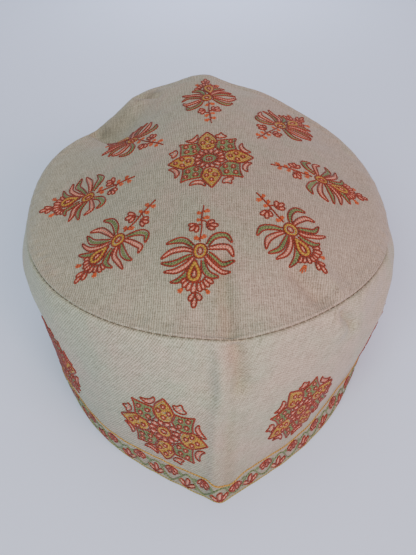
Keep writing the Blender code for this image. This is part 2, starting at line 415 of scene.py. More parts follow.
def wall_mesh(name, loops, places, marks, poles=None, lap=0.0):
    """Closed wall of cloth through equal loops of points, all given in millimetres.

    Each loop is joined to the next one, and the last to the first, or to its pole.
    places holds a flat place for every point, which becomes the UV map cloth; after a
    whole loop it has moved on by lap. Each of the marks becomes an attribute.
    """
    rows, count = loops.shape[:2]
    points = loops.reshape(-1, 3)
    flat = places.reshape(-1, 2)
    here = np.arange(count)
    after = (here + 1) % count
    last = rows if poles is None else rows - 1
    row = np.arange(last)[:, None] * count
    below = ((np.arange(last)[:, None] + 1) % rows) * count
    quads = np.stack([row + here, below + here, below + after, row + after], axis=-1).reshape(-1, 4)
    faces = quads.tolist()
    closing = np.stack([flat[quads[:, k]] for k in range(4)], axis=1)
    around = np.tile(here == count - 1, last)
    if poles is None:
        closing[around, 2:, 0] += lap
    corners = [closing.reshape(-1, 2)]
    if poles is not None:
        top = len(points)
        points = np.vstack([points, poles["points"]])
        end = (rows - 1) * count
        first_fan = np.stack([np.full(count, top), here, after], axis=-1)
        last_fan = np.stack([np.full(count, top + 1), end + after, end + here], axis=-1)
        fans = np.concatenate([first_fan, last_fan])
        faces += fans.tolist()
        flat = np.vstack([flat, poles["places"]])
        corners.append(flat[fans.reshape(-1)])
    mesh = smooth_mesh(name, points, faces, "cloth", np.concatenate(corners))
    for mark, amount in marks.items():
        values = np.zeros(len(points), dtype=np.float32)
        values[:amount.size] = amount.ravel()
        mesh.attributes.new(mark, "FLOAT", "POINT").data.foreach_set("value", values)
    return mesh


def put(name, mesh, materials):
    """Add a mesh to the scene as a named piece that goes with the cap's one body."""
    piece = bpy.data.objects.new(name, mesh)
    for material in materials:
        mesh.materials.append(material)
    bpy.context.scene.collection.objects.link(piece)
    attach(piece, "root")
    return piece


def linear(code):
    """Linear colour, with full alpha, from an sRGB hex value."""
    parts = [int(code[i:i + 2], 16) / 255.0 for i in (1, 3, 5)]
    return tuple(c / 12.92 if c <= 0.04045 else ((c + 0.055) / 1.055) ** 2.4 for c in parts) + (1.0,)


def finish(name, sockets):
    """Add a material and set its shader's sockets; the material, nodes and shader."""
    material = bpy.data.materials.new(name)
    material.use_nodes = True
    shader = material.node_tree.nodes["Principled BSDF"]
    for socket, value in sockets.items():
        shader.inputs[socket].default_value = value
    return material, material.node_tree, shader


def node(tree, kind, inputs=None, **settings):
    """Add one shader node, set its properties, and set or link its inputs."""
    added = tree.nodes.new("ShaderNode" + kind)
    for name, value in settings.items():
        setattr(added, name, value)
    for socket, value in (inputs or {}).items():
        if isinstance(value, bpy.types.NodeSocket):
            tree.links.new(value, added.inputs[socket])
        else:
            added.inputs[socket].default_value = value
    return added


# Patterns of the cloth, how many to a millimetre; those of the weft across and along
WAVERS_PER_MM = 0.5
YARN_TONES_PER_MM = 0.2
WEFT_TONES_PER_MM = (0.16, 1.25, 1.0)
FLECKS_PER_MM = 1.5
CLOUDS_PER_MM = 0.035

# A wave texture repeats every tenth of pi over its scale
WAVE_REPEAT = math.pi / 10.0

# How much painted light pales the cloth at its fullest, and painted shade darkens it
LIGHT_AND_SHADE_GAIN = 0.2


def wool(name, dark, light, cool, warm, side_tint_share, rib_mm, rib_turn_deg, rib_tone, cross_mm, cross_tone,
         round_mm, hidden_rib):
    """Greige worsted: undyed wool, spun from lighter and darker fibres, so the cloth is
    matt, faintly hairy, ribbed by its weave and clouded with warmer and cooler patches.

    It is warmer on the right half of round_mm and cooler on the left, by the share
    side_tint_share: painted light, warm from the right and cool from the left. Its
    ribs are brushed flat by the share hidden_rib on the warmer half. Folds get a brown
    painted shade, and painted light and shade make the cloth paler at the front of the
    seam and darker in creases and near the rim. Ribs half a millimetre apart, as in fine
    worsted, wouldn't show, so they are drawn wider.
    """
    material, tree, shader = finish(name, {"Roughness": 0.92, "Specular IOR Level": 0.25,
                                           "Sheen Weight": 0.25, "Sheen Roughness": 0.45})
    cloth = node(tree, "UVMap", uv_map="cloth").outputs[0]
    across = node(tree, "SeparateXYZ", {0: cloth}).outputs[0]
    # Painted light: a sine round the cap, highest on the right side, makes the right half warmer and the
    # left cooler
    round_way = node(tree, "Math", {0: across, 1: 2.0 * math.pi / round_mm},
                     operation="MULTIPLY").outputs[0]
    lit_side_wave = node(tree, "Math", {0: round_way}, operation="SINE").outputs[0]

    # The yarns run a little unevenly, and the weave's ribs and cross ribs with them
    turned = node(tree, "Mapping",
                  {"Vector": cloth, "Rotation": (0, 0, math.radians(rib_turn_deg))}).outputs[0]
    waver = node(tree, "TexNoise", {"Vector": turned, "Scale": WAVERS_PER_MM, "Detail": 2.0})
    shifted = node(tree, "VectorMath", {0: waver.outputs["Color"], 1: (0.9, 0.9, 0.0)},
                   operation="MULTIPLY").outputs[0]
    weave = node(tree, "VectorMath", {0: turned, 1: shifted}, operation="ADD").outputs[0]
    rib, cross = (node(tree, "TexWave",
                       {"Vector": weave, "Scale": WAVE_REPEAT / repeat, "Distortion": distortion,
                        "Detail": 1.0, "Detail Scale": 2.0}, bands_direction=way).outputs["Fac"]
                  for way, repeat, distortion in (("X", rib_mm, 0.5), ("Y", cross_mm, 0.8)))

    # Each yarn is a little lighter or darker over its length, both ways of the weave,
    # with flecks of single fibres and wide clouds over them
    yarn_place = node(tree, "Mapping",
                      {"Vector": weave, "Scale": (1.0 / rib_mm, YARN_TONES_PER_MM, 1.0)}).outputs[0]
    weft_place = node(tree, "Mapping", {"Vector": cloth, "Scale": WEFT_TONES_PER_MM}).outputs[0]
    yarn, weft, fleck, cloud = (
        node(tree, "TexNoise",
             {"Vector": place, "Scale": scale, "Detail": detail, "Roughness": roughness}).outputs["Fac"]
        for place, scale, detail, roughness in ((yarn_place, 1.0, 2.0, 0.5), (weft_place, 1.0, 2.0, 0.5),
                                                (cloth, FLECKS_PER_MM, 3.0, 0.7),
                                                (cloth, CLOUDS_PER_MM, 3.0, 0.6)))
    shown = node(tree, "MapRange", {"Value": lit_side_wave, "From Min": -0.25, "From Max": 0.35,
                                    "To Min": 1.0, "To Max": 1.0 - hidden_rib}).outputs[0]
    raised = node(tree, "Math", {0: rib, 1: 0.5}, operation="SUBTRACT").outputs[0]
    raised = node(tree, "Math", {0: raised, 1: shown}, operation="MULTIPLY").outputs[0]

    # Tone between the dark and the light fibres: a weighted sum of the patterns
    tone = -0.25
    for pattern, weight in ((yarn, 0.5), (weft, 0.45), (fleck, 1.1), (cross, cross_tone),
                            (raised, rib_tone)):
        tone = node(tree, "Math", {0: pattern, 1: weight, 2: tone},
                    operation="MULTIPLY_ADD").outputs[0]
    tone = node(tree, "MapRange", {"Value": tone, "From Min": 0.54, "From Max": 1.17}).outputs[0]
    yarns = node(tree, "Mix", {0: tone, 6: linear(dark), 7: linear(light)},
                 data_type="RGBA").outputs[2]

    # Warmer and cooler patches, and painted light, warmer on the right and cooler on the
    # left; brown painted shade in the folds; painted light and shade, paler or darker
    clouded = node(tree, "Math", {0: lit_side_wave, 1: side_tint_share, 2: cloud},
                   operation="MULTIPLY_ADD").outputs[0]
    patch = node(tree, "MapRange",
                 {"Value": clouded, "From Min": 0.36, "From Max": 0.64}).outputs[0]
    tint = node(tree, "Mix", {0: patch, 6: linear(cool), 7: linear(warm)},
                data_type="RGBA").outputs[2]
    fold_shade = node(tree, "Attribute", attribute_name="fold_shade").outputs["Fac"]
    # Brown painted shade in the folds: the colour #EFE4DA multiplied in by the attribute
    shaded_colour = yarns
    for share, colour in ((1.0, tint), (fold_shade, linear("#EFE4DA"))):
        shaded_colour = node(tree, "Mix", {0: share, 6: shaded_colour, 7: colour}, data_type="RGBA",
                    blend_type="MULTIPLY").outputs[2]
    # Painted light and shade: paler at the front of the seam, darker in creases and near the rim
    light_and_shade = node(tree, "Attribute", attribute_name="light_and_shade").outputs["Fac"]
    painted_brightness = node(tree, "Math", {0: light_and_shade, 1: LIGHT_AND_SHADE_GAIN, 2: 1.0},
                    operation="MULTIPLY_ADD").outputs[0]
    shaded_colour = node(tree, "VectorMath", {0: shaded_colour, 3: painted_brightness}, operation="SCALE").outputs[0]

    height = raised
    for pattern, weight in ((fleck, 0.7), (cross, 0.35)):
        height = node(tree, "Math", {0: pattern, 1: weight, 2: height},
                      operation="MULTIPLY_ADD").outputs[0]
    bump = node(tree, "Bump", {"Height": height, "Strength": 0.5, "Distance": 0.22 * MM})
    tree.links.new(shaded_colour, shader.inputs["Base Color"])
    tree.links.new(bump.outputs[0], shader.inputs["Normal"])
    return material


# Rows of points: their distances from the seam, and how many lie evenly beyond them.
# The inner face stops short of the seam, where the turned-under edge makes the wall
# thicker, and crown and band each stop a hair away from the seam line.
SEAM_STEPS = np.array([0.0, 0.13, 0.26, 0.4, 0.58, 0.8, 1.1, 1.45, 1.85, 2.35, 2.9, 3.5, 4.1, 4.7,
                       5.4, 6.2, 7.0])
CROWN_ROWS = 89
INNER_CROWN_ROWS = 26
INNER_MARGIN = 3.0
SEAM_WALL = 2.1
SEAM_HAIR = 0.04


def crown_panel():
    """Wall of the crown: fine outer rows, a joint at the seam and coarser inner rows.

    The inner face lies one cloth's thickness under the outer one along its normal.
    """
    turn = np.arange(STATIONS) * (2.0 * math.pi / STATIONS)
    reach = np.interp(wrapped(turn), turn_table, crown_reach)
    middle = np.linspace(0.0, 1.0, CROWN_ROWS + 1)[1:, None] * (reach - SEAM_STEPS[-1])
    edge = reach - SEAM_STEPS[::-1][1:, None]
    out = np.vstack([middle, edge])
    right = out * np.sin(turn)
    back = -out * np.cos(turn)
    outer = crown_cloth(right, back)
    outer[-1, :, 2] += SEAM_HAIR
    inner_out = np.linspace(0.04, 1.0, INNER_CROWN_ROWS)[:, None] * (reach - INNER_MARGIN)
    inner_right = inner_out * np.sin(turn)
    inner_back = -inner_out * np.cos(turn)
    inner = crown_cloth(inner_right, inner_back)
    inner = inner - facing(crown_shape, inner_right, inner_back) * CLOTH_WALL
    inner_edge = outer[-1:] - seam_outward(turn) * (SEAM_WALL - GROOVE_DEPTH)
    loops = np.concatenate([outer, inner_edge, inner[::-1]])
    places = np.concatenate([np.stack([right, back], axis=-1),
                             np.stack([right[-1:], back[-1:]], axis=-1),
                             np.stack([inner_right, inner_back], axis=-1)[::-1]])
    top = crown_cloth(np.zeros(1), np.zeros(1))
    under = top - np.array([[0.0, 0.0, CLOTH_WALL]])
    poles = {"points": np.vstack([top, under]), "places": np.zeros((2, 2))}
    x, y = places[..., 0], places[..., 1]
    # Painted light at the front of the seam, less painted shade in the creases
    light_and_shade = front_light_at(*crown_place(x, y), CROWN_FRONT_LIGHT_REACH) - folds_at(CREASE_SHADE, x, y)
    # Brown painted shade in the folds
    marks = {"fold_shade": fold_shade_at(CROWN_FOLDS, x, y), "light_and_shade": light_and_shade}
    return wall_mesh("crown_cloth", loops, places, marks, poles)


# The crown's colours are set a little darker than the band's, painted shade on the top of the cap; painted
# light makes its right half warmer and its left half cooler
crown = put("crown_cloth", crown_panel(),
            [wool("greige ribbed wool", dark="#797268", light="#C0B7AC", cool="#EAEDDE", warm="#F8E6DE",
                  side_tint_share=0.18, rib_mm=0.95, rib_turn_deg=0.0, rib_tone=0.32, cross_mm=0.7, cross_tone=0.12,
                  round_mm=340.0, hidden_rib=0.2)])
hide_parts("crown_panel")


# Side band: one strip of wool twill, joined at the back, whose lower edge is turned up
# inside as a hem. The cap is kept folded flat, so the band has a sharp crease at the
# front and a softer one at the back, and stands fullest just below the seam.

RIM_HALF_WIDTH = 82.0
RIM_HALF_LENGTH = 95.5
RIM_BACK_SHIFT = -4.5
FRONT_POINT = 14.5
BACK_POINT = 4.0
BAND_FULLNESS = 4.5
FULLNESS_HEIGHT = 0.62
EDGE_HOLD = 1.6
CREASE_TURN_AT_RIM = math.radians(3.4)
HEM_WALL = 2.6
HEM_HEIGHT = 12.3
HEM_STEP_ROUNDING = 0.3

# Hollows and fullnesses: turn and reach in degrees from the front, place and reach
# from the seam (0) to the rim (1), depth in millimetres
BAND_FORMS = table("form", "turn", "wide", "down", "tall", "depth", rows=(
    ("flat left cheek", -70.0, 28.0, 0.4, 0.34, 2.5),
    ("full right cheek", 62.0, 22.0, 0.5, 0.3, -1.0),
    ("valley by the crease", -3.0, 5.0, 0.16, 0.12, 1.2),
    ("dimple at the seam", 58.0, 7.0, 0.16, 0.08, 1.2),
    ("lobe at the back", -150.0, 16.0, 0.1, 0.14, -3.0),
    ("full left shoulder", -84.0, 18.0, 0.16, 0.14, -3.0),
    ("full left brow", -66.0, 18.0, 0.2, 0.16, -1.5),
    ("full right shoulder", 84.0, 18.0, 0.16, 0.14, -3.6),
    ("slack right cheek", 84.0, 18.0, 0.4, 0.2, 2.7),
    ("slack above the right rim", 44.0, 18.0, 0.78, 0.2, 3.8),
))


def rim_form(turn):
    """Rim in plan: an ellipse drawn out to a point at the front and at the back."""
    front = FRONT_POINT * np.exp(-folded(turn - CREASE_TURN_AT_RIM) / POINT_WIDTH)
    rear = BACK_POINT * np.exp(-folded(turn - math.pi) / POINT_WIDTH)
    x = (RIM_HALF_WIDTH + front + rear) * np.sin(turn)
    y = RIM_BACK_SHIFT - (RIM_HALF_LENGTH + front + rear) * np.cos(turn)
    return np.stack([x, y, np.zeros_like(turn)], axis=-1)


def band_form(down, turn):
    """Band at a place from the seam (0) to the rim (1): straight lines between them.

    They are pushed outwards by the fullness and by the forms of the table, which the
    seam and the rim hold in.
    """
    top = crown_form(np.ones_like(turn), turn)
    outline = top + (rim_form(turn) - top) * down[..., None]
    held = np.clip(down, 0.0, 1.0)
    push = BAND_FULLNESS * np.sin(math.pi * held ** FULLNESS_HEIGHT)
    edges_held = np.minimum(1.0, EDGE_HOLD * np.sin(math.pi * held))
    for row in BAND_FORMS:
        round_way = wrapped(turn - math.radians(row["turn"])) / math.radians(row["wide"])
        down_way = (down - row["down"]) / row["tall"]
        push = push - row["depth"] * bell(np.hypot(round_way, down_way)) * edges_held
    outward = np.stack([np.sin(turn), -np.cos(turn), np.zeros_like(turn)], axis=-1)
    points = outline + outward * push[..., None]
    points[..., :2] += CAP_CENTRE
    return points


# Length round the rim and height of the band for each quarter of a degree
rim_turns = np.linspace(-math.pi, math.pi, 4 * 360 + 1)
rim_run = running_length(rim_form(rim_turns))
RIM_LENGTH = float(rim_run[-1])
rim_run = rim_run - np.interp(0.0, rim_turns, rim_run)
seam_line = crown_form(np.ones_like(rim_turns), rim_turns)
band_heights = np.linalg.norm(seam_line - rim_form(rim_turns), axis=-1)
CREASE_ALONG_RIM = float(np.interp(CREASE_TURN_AT_RIM, rim_turns, rim_run))


def band_turn(along):
    """Turn round the cap for a length along the rim, either way past the back."""
    laps = np.floor((along - rim_run[0]) / RIM_LENGTH)
    return np.interp(along - laps * RIM_LENGTH, rim_run, rim_turns) + laps * 2.0 * math.pi


def band_shape(along, up):
    """Smooth band at a flat place, up from the rim on the line to the seam."""
    turn = band_turn(along)
    height = np.interp(wrapped(turn), rim_turns, band_heights)
    return band_form(1.0 - up / height, turn)


def band_place(along, up):
    """Turn from the front at a flat place of the band, and how far it is below the seam."""
    turn = band_turn(along)
    return turn, np.interp(wrapped(turn), rim_turns, band_heights) - up


# Soft folds of the band, as those of the crown
BAND_FOLDS = table("fold", "start", "end", "half", "depth", "shade_share", rows=(
    ("valley beside the crease", (12.0, 92.0), (15.0, 68.0), 3.5, 3.2, 0.85),
    ("slack left of the crease", (-0.5, 92.0), (2.0, 66.0), 3.8, 1.2, 0.0),
    ("fold to the right cheek", (63.0, 78.0), (69.0, 70.0), 2.1, 2.7, 0.25),
    ("full cheek left of the fold", (58.0, 78.0), (61.0, 72.0), 4.0, -1.4, 0.0),
    ("full cheek beside the fold", (76.0, 80.0), (74.0, 64.0), 6.0, -1.0, 0.0),
    ("full right shoulder", (98.0, 58.0), (108.0, 68.0), 9.0, -1.6, 0.0),
    ("hollow behind the shoulder", (128.0, 78.0), (146.0, 84.0), 9.0, 2.0, 0.0),
))

# The pressed crease: ridges and hollows beside each other, with their heights near the
# seam and low on the band as shares of the ridge, their places to the right of the
# crease, how far they lie to the right of that low on the band, and their half widths
CREASE_FORMS = table("form", "high", "low", "aside", "moved", "half", rows=(
    ("pressed ridge", 1.0, 0.7, 0.0, -2.6, 2.6),
    ("slack right of the ridge", -0.4, 0.0, 7.0, 0.0, 4.0),
    ("slack left of the ridge", -0.8, -0.35, -8.0, 0.0, 6.0),
))
CREASE_RIDGE = 1.5
CREASE_LEAN = 0.008
CREASE_START = 20.0
CREASE_LOW = 68.0
CREASE_LOW_SLOPE = 22.0


def from_crease(along, up):
    """Distance along the band from the front crease, which leans a little as it rises."""
    return along - CREASE_ALONG_RIM - CREASE_LEAN * up


def low_on_band(up):
    """0 near the seam and 1 low on the band, where the crease's ridge moves over."""
    return eased((CREASE_LOW - up) / CREASE_LOW_SLOPE)


# The valley that opens right of the ridge low on the band, and its brown painted shade
VALLEY_DEPTH = 0.75
VALLEY_ASIDE = 2.0
VALLEY_HALF = 2.6
VALLEY_OVER_RIM = 2.0
VALLEY_SLOPE = 30.0
VALLEY_SHADE = 0.5
VALLEY_SHADE_ASIDE = 4.0
VALLEY_SHADE_HALF = 3.2

# Relief of the band, as that of the crown; its waves are laid round a mean radius
band_waves = ripples(seed=9, count=16, shortest=12.0, longest=48.0)
BAND_COCKLE = 1.3
BAND_RADIUS = 91.0
BAND_PUCKER_REACH = 7.0
BACK_SEAM_DEPTH = 0.5
BACK_SEAM_HALF_WIDTH = 0.8
BACK_SEAM_RADIUS = 95.0
RIM_HOLD = 6.0


def band_relief(along, up):
    """How far the cloth stands off the smooth band at a flat place.

    Soft cockles, gathers under the seam, the ridges and hollows of the pressed crease,
    each one a bell of the distance from it, and the joint of the strip at the back.
    """
    turn, below = band_place(along, up)
    aside = from_crease(along, up)
    low = low_on_band(up)
    valley = VALLEY_DEPTH * low * eased((up + VALLEY_OVER_RIM) / VALLEY_SLOPE)
    crease = -valley * bell((aside - VALLEY_ASIDE) / VALLEY_HALF)
    for row in CREASE_FORMS:
        share = row["high"] + (row["low"] - row["high"]) * low
        crease = crease + share * bell((aside - row["aside"] - row["moved"] * low) / row["half"])
    crease = CREASE_RIDGE * crease * eased(below / CREASE_START)
    joint = BACK_SEAM_DEPTH * bell(wrapped(turn - math.pi) * BACK_SEAM_RADIUS / BACK_SEAM_HALF_WIDTH)
    gathers = 0.5 * PUCKER_HEIGHT * puckers(turn) * bell(below / BAND_PUCKER_REACH)
    cockles = BAND_COCKLE * COCKLE * rippled(band_waves, wrapped(turn) * BAND_RADIUS, up)
    folds = folds_at(BAND_FOLDS, along, up) * eased((below + FOLD_PAST_SEAM) / FOLD_SLOPE)
    relief = cockles * eased(below / QUIET_EDGE) + crease - joint + gathers - folds
    return relief * eased(up / RIM_HOLD)


def band_cloth(along, up):
    """Outer face of the band's cloth at a flat place: shape, relief and seam groove."""
    return sewn_down(band_shape, band_relief, band_place, along, up)


# Rows of points of the band, the steps round its rim, and the height at which the
# direction straight out from the rim is read
BAND_ROWS = 74
INNER_BAND_ROWS = 22
INNER_BAND_TOP = 81.0
ROLL_STEP_DEG = 22.5
RIM_FACING_UP = 8.0

# How far down from the seam the band gets painted light, and its painted shade at the rim
BAND_FRONT_LIGHT_REACH = 60.0
RIM_SHADE = 1.3
RIM_SHADE_HEIGHT = 34.0


def side_band():
    """Wall of the band: outer rows, a rolled rim, the hem and its step, inner rows.

    The rim is half a circle as wide as the hem is thick, from the outer face under to
    the inner one, and it touches the floor along its lowest line.
    """
    turn = np.arange(STATIONS) * (2.0 * math.pi / STATIONS)
    along = np.interp(wrapped(turn), rim_turns, rim_run)
    order = np.argsort(along)
    along = along[order]
    turn = wrapped(turn[order])
    height = np.interp(turn, rim_turns, band_heights)
    roll = 0.5 * HEM_WALL
    top_rows = height - SEAM_STEPS[:, None]
    middle_rows = np.linspace(0.0, 1.0, BAND_ROWS + 2)[1:-1, None]
    middle_rows = (height - SEAM_STEPS[-1]) * (1.0 - middle_rows) + roll * middle_rows
    outer_up = np.vstack([top_rows, middle_rows, np.full((1, STATIONS), roll)])
    outer_along = np.broadcast_to(along, outer_up.shape)
    outer = band_cloth(outer_along, outer_up)
    outer[0, :, 2] -= SEAM_HAIR
    outward = facing(band_shape, along, np.full(STATIONS, RIM_FACING_UP))
    outward[:, 2] = 0.0
    outward = unit(outward)
    rim = outer[-1] - outward * roll
    rim[:, 2] = 0.0
    bend = np.radians(np.arange(ROLL_STEP_DEG, 180.0, ROLL_STEP_DEG))[:, None, None]
    rolled = rim + outward * roll * np.cos(bend) + np.array([0.0, 0.0, roll]) * (1.0 - np.sin(bend))
    # Inside, rows up the hem, which ends in a rounded step, and up the single cloth
    inner_up = np.concatenate([[roll, 4.0, 8.0, HEM_HEIGHT - 0.5, HEM_HEIGHT, HEM_HEIGHT + 0.25],
                               np.linspace(HEM_HEIGHT + 3.0, INNER_BAND_TOP, INNER_BAND_ROWS)])
    wall = np.where(inner_up <= HEM_HEIGHT, HEM_WALL, CLOTH_WALL)
    wall[inner_up == HEM_HEIGHT] -= HEM_STEP_ROUNDING
    inner_up = inner_up[:, None] / SEAM_HEIGHT * height
    inner_along = np.broadcast_to(along, inner_up.shape)
    inner = band_cloth(inner_along, inner_up)
    level = facing(band_shape, inner_along, inner_up)
    level[..., 2] = 0.0
    inner = inner - unit(level) * wall[:, None, None]
    inner[0] = rim - outward * roll + np.array([0.0, 0.0, roll])
    seam_edge = outer[:1] - seam_outward(turn) * (SEAM_WALL - GROOVE_DEPTH)
    loops = np.concatenate([outer, rolled, inner, seam_edge])
    ups = np.concatenate([outer_up, np.zeros((len(rolled), STATIONS)), inner_up, outer_up[:1]])
    places = np.stack([np.broadcast_to(along, ups.shape), ups], axis=-1)
    runs = places[..., 0]
    # Brown painted shade in the folds and in the valley right of the crease
    valley_shade = bell((from_crease(runs, ups) - VALLEY_SHADE_ASIDE) / VALLEY_SHADE_HALF)
    fold_shade = np.maximum(fold_shade_at(BAND_FOLDS, runs, ups), VALLEY_SHADE * low_on_band(ups) * valley_shade)
    # Painted light at the front of the seam
    front_lit = front_light_at(runs * (2.0 * math.pi / RIM_LENGTH), SEAM_HEIGHT - ups, BAND_FRONT_LIGHT_REACH)
    # Painted shade, darker towards the rim
    rim_shade = RIM_SHADE * eased((RIM_SHADE_HEIGHT - ups) / RIM_SHADE_HEIGHT)
    return wall_mesh("band_cloth", loops, places, {"fold_shade": fold_shade, "light_and_shade": front_lit - rim_shade}, lap=RIM_LENGTH)


# The band's cloth, whose right half painted light makes warmer and whose left half cooler
band = put("band_cloth", side_band(),
           [wool("greige wool twill", dark="#7D796E", light="#C2BDB0", cool="#E6EEDF", warm="#F8E6DE",
                 side_tint_share=0.17, rib_mm=0.9, rib_turn_deg=36.0, rib_tone=0.34, cross_mm=0.8, cross_tone=0.16,
                 round_mm=RIM_LENGTH, hidden_rib=0.7)])
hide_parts("side_band")


# Seam thread: the taupe sewing cotton that joins crown and band. Its running stitches
# lie in the seam's groove and show as a thin broken line.

SEAM_STITCH = 2.4
SEAM_STITCH_GAP = 0.7
SEAM_THREAD_RADIUS = 0.17
SEAM_THREAD_DEPTH = 0.3
SEAM_THREAD_SIDES = 5

# A stitch from end to end: share of its length, how far it sinks and its thickness
SEAM_STITCH_RINGS = table("share", "sink", "thick", rows=(
    (0.0, 0.35, 0.5),
    (0.15, 0.1, 1.0),
    (0.5, 0.0, 1.0),
    (0.85, 0.1, 1.0),
    (1.0, 0.35, 0.5),
))


def seam_thread():
    """Short round rods along the groove, each one bent to the seam by its five rings.

    A rod's ends are drawn in to half its radius and sink into the groove.
    """
    fine_turn = np.linspace(-math.pi, math.pi, 8 * 360 + 1)
    line = crown_form(np.ones_like(fine_turn), fine_turn)
    line[:, :2] += CAP_CENTRE
    run = running_length(line)
    count = int(run[-1] / (SEAM_STITCH + SEAM_STITCH_GAP))
    share, sink, thick = (np.array([ring[key] for ring in SEAM_STITCH_RINGS])
                          for key in ("share", "sink", "thick"))
    at = np.arange(count)[:, None] * run[-1] / count + share * SEAM_STITCH
    turn = np.interp(at, run, fine_turn)
    middle = np.stack([np.interp(at, run, line[:, k]) for k in range(3)], axis=-1)
    outward = seam_outward(turn)
    middle = middle - outward * (SEAM_THREAD_DEPTH + sink)[None, :, None]
    along = np.stack([np.cos(turn), np.sin(turn), np.zeros_like(turn)], axis=-1)
    side = unit(np.cross(along, outward))
    sides = SEAM_THREAD_SIDES
    bend = (np.arange(sides) * 2.0 * math.pi / sides)[:, None]
    ring = side[..., None, :] * np.cos(bend) + outward[..., None, :] * np.sin(bend)
    points = middle[..., None, :] + ring * (SEAM_THREAD_RADIUS * thick)[None, :, None, None]
    first = np.arange(count * len(share)).reshape(count, len(share)) * sides
    here, there = first[:, :-1].reshape(-1, 1), first[:, 1:].reshape(-1, 1)
    k = np.arange(sides)
    after = (k + 1) % sides
    quads = np.stack([here + k, here + after, there + after, there + k], axis=-1)
    starts = first[:, :1] + k[::-1]
    ends = first[:, -1:] + k
    faces = quads.reshape(-1, 4).tolist() + starts.tolist() + ends.tolist()
    return smooth_mesh("seam_thread", points, faces)


# Matt, a little lighter and darker from place to place, as spun cotton takes its dye
COTTON_TONES_PER_METRE = 180.0
cotton, cotton_tree, cotton_shader = finish("taupe sewing cotton, twisted and matt", {"Roughness": 0.9})
cotton_place = node(cotton_tree, "TexCoord").outputs["Object"]
cotton_uneven = node(cotton_tree, "TexNoise", {"Vector": cotton_place, "Scale": COTTON_TONES_PER_METRE})
cotton_tone = node(cotton_tree, "Mix",
                   {0: cotton_uneven.outputs["Fac"], 6: linear("#332D25"), 7: linear("#857A69")},
                   data_type="RGBA")
cotton_tree.links.new(cotton_tone.outputs[2], cotton_shader.inputs["Base Color"])
put("seam_thread", seam_thread(), [cotton])


# Crown medallion: a rosette of eight petals, worked on the crown's centre by hook in
# chain stitch. Brick-red rows draw the outlines, and rows of ochre, green and rose
# thread fill them; red rings with rose middles lie on the filled petals as seeds.

STITCH_LENGTH = 1.32
RINGS_PER_STITCH = 3
OUTLINE_WIDTH = 0.94
OUTLINE_HEIGHT = 0.6
FILL_HEIGHT = 0.42
SEED_LIFT = 0.28
NARROWEST_ROW = 0.5

# Width and height of a row where one stitch holds the next, and at its ends, as shares
STITCH_WAIST = 0.86
STITCH_DIP = 0.74
ROW_END = 0.55

# The silks, with the darkest and the lightest colour of each: the darkest partly painted
# shade in the gaps between strands, the lightest partly painted highlight on their crowns
THREADS = {
    "brick": ("brick red silk", "#340B04", "#8C2A12"),
    "rose": ("rose silk", "#943526", "#D48E78"),
    "green": ("sage green silk", "#343C22", "#707C4A"),
    "ochre": ("ochre silk", "#68460C", "#B6892C"),
    "orange": ("orange silk", "#76280A", "#BC4E1A"),
    "moss": ("moss green silk", "#38462A", "#6E7C52"),
    "straw": ("straw silk", "#5E521C", "#A8984A"),
}

# Section of a row of stitches, from its right foot over the top to its left foot:
# across as a share of its width, up as a share of its height
ROW_SECTION = table("across", "up", rows=(
    (0.5, -0.25),
    (0.35, 0.6),
    (0.0, 1.0),
    (-0.35, 0.6),
    (-0.5, -0.25),
))


def smooth(points, closed=False):
    """Line through given points: a Catmull-Rom curve with ten steps a span.

    Each span is the cubic that passes its two ends with the slopes of the chords
    between their neighbours.
    """
    points = np.asarray(points, dtype=float)
    if closed:
        before = np.roll(points, 1, axis=0)
        start = points
        end = np.roll(points, -1, axis=0)
        beyond = np.roll(points, -2, axis=0)
    else:
        ends = np.vstack([2 * points[0] - points[1], points, 2 * points[-1] - points[-2]])
        before, start, end, beyond = ends[:-3], ends[1:-2], ends[2:-1], ends[3:]
    t = (np.arange(10) / 10.0)[:, None, None]
    span = 0.5 * (2.0 * start + (end - before) * t
                  + (2.0 * before - 5.0 * start + 4.0 * end - beyond) * t ** 2
                  + (3.0 * start - before - 3.0 * end + beyond) * t ** 3)
    line = span.transpose(1, 0, 2).reshape(-1, 2)
    return np.vstack([line, line[:1] if closed else points[-1:]])


def stitch_row(rows, thread, line, width=OUTLINE_WIDTH, height=OUTLINE_HEIGHT, lift=0.0):
    """Add a row of chain stitch along a line; the row closes where the line does.

    The line is cut into whole stitches near the usual length, a few steps to each. A
    stitch swells in its middle and sinks where the next loop holds it down.
    """
    line = np.asarray(line, dtype=float)
    run = running_length(line)
    stitches = max(1, int(round(run[-1] / STITCH_LENGTH)))
    closed = bool(np.hypot(*(line[0] - line[-1])) < 1e-6)
    stitches = max(2, stitches) if closed else stitches
    at = np.linspace(0.0, run[-1], stitches * RINGS_PER_STITCH + 1)
    place = np.stack([np.interp(at, run, line[:, 0]), np.interp(at, run, line[:, 1])], axis=-1)
    if closed:
        step = np.roll(place[:-1], -1, axis=0) - np.roll(place[:-1], 1, axis=0)
        place, at = place[:-1], at[:-1]
    else:
        step = np.gradient(place, axis=0)
    swell = np.square(np.sin(math.pi * np.arange(len(at)) / RINGS_PER_STITCH))
    wide = np.interp(at, run, np.broadcast_to(width, len(line)))
    wide = wide * (STITCH_WAIST + (1.0 - STITCH_WAIST) * swell)
    high = height * (STITCH_DIP + (1.0 - STITCH_DIP) * swell)
    if not closed:
        wide[[0, -1]] *= ROW_END
        high[[0, -1]] *= ROW_END
    rows.append({"thread": list(THREADS).index(thread), "place": place, "step": unit(step), "wide": wide,
                 "high": high, "lift": np.full(len(at), lift), "closed": closed,
                 "count": np.arange(len(at)) / RINGS_PER_STITCH})


HAND_WOBBLE = 0.34
WOBBLE_WAVES = {"count": 10, "shortest": 5.0, "longest": 16.0}


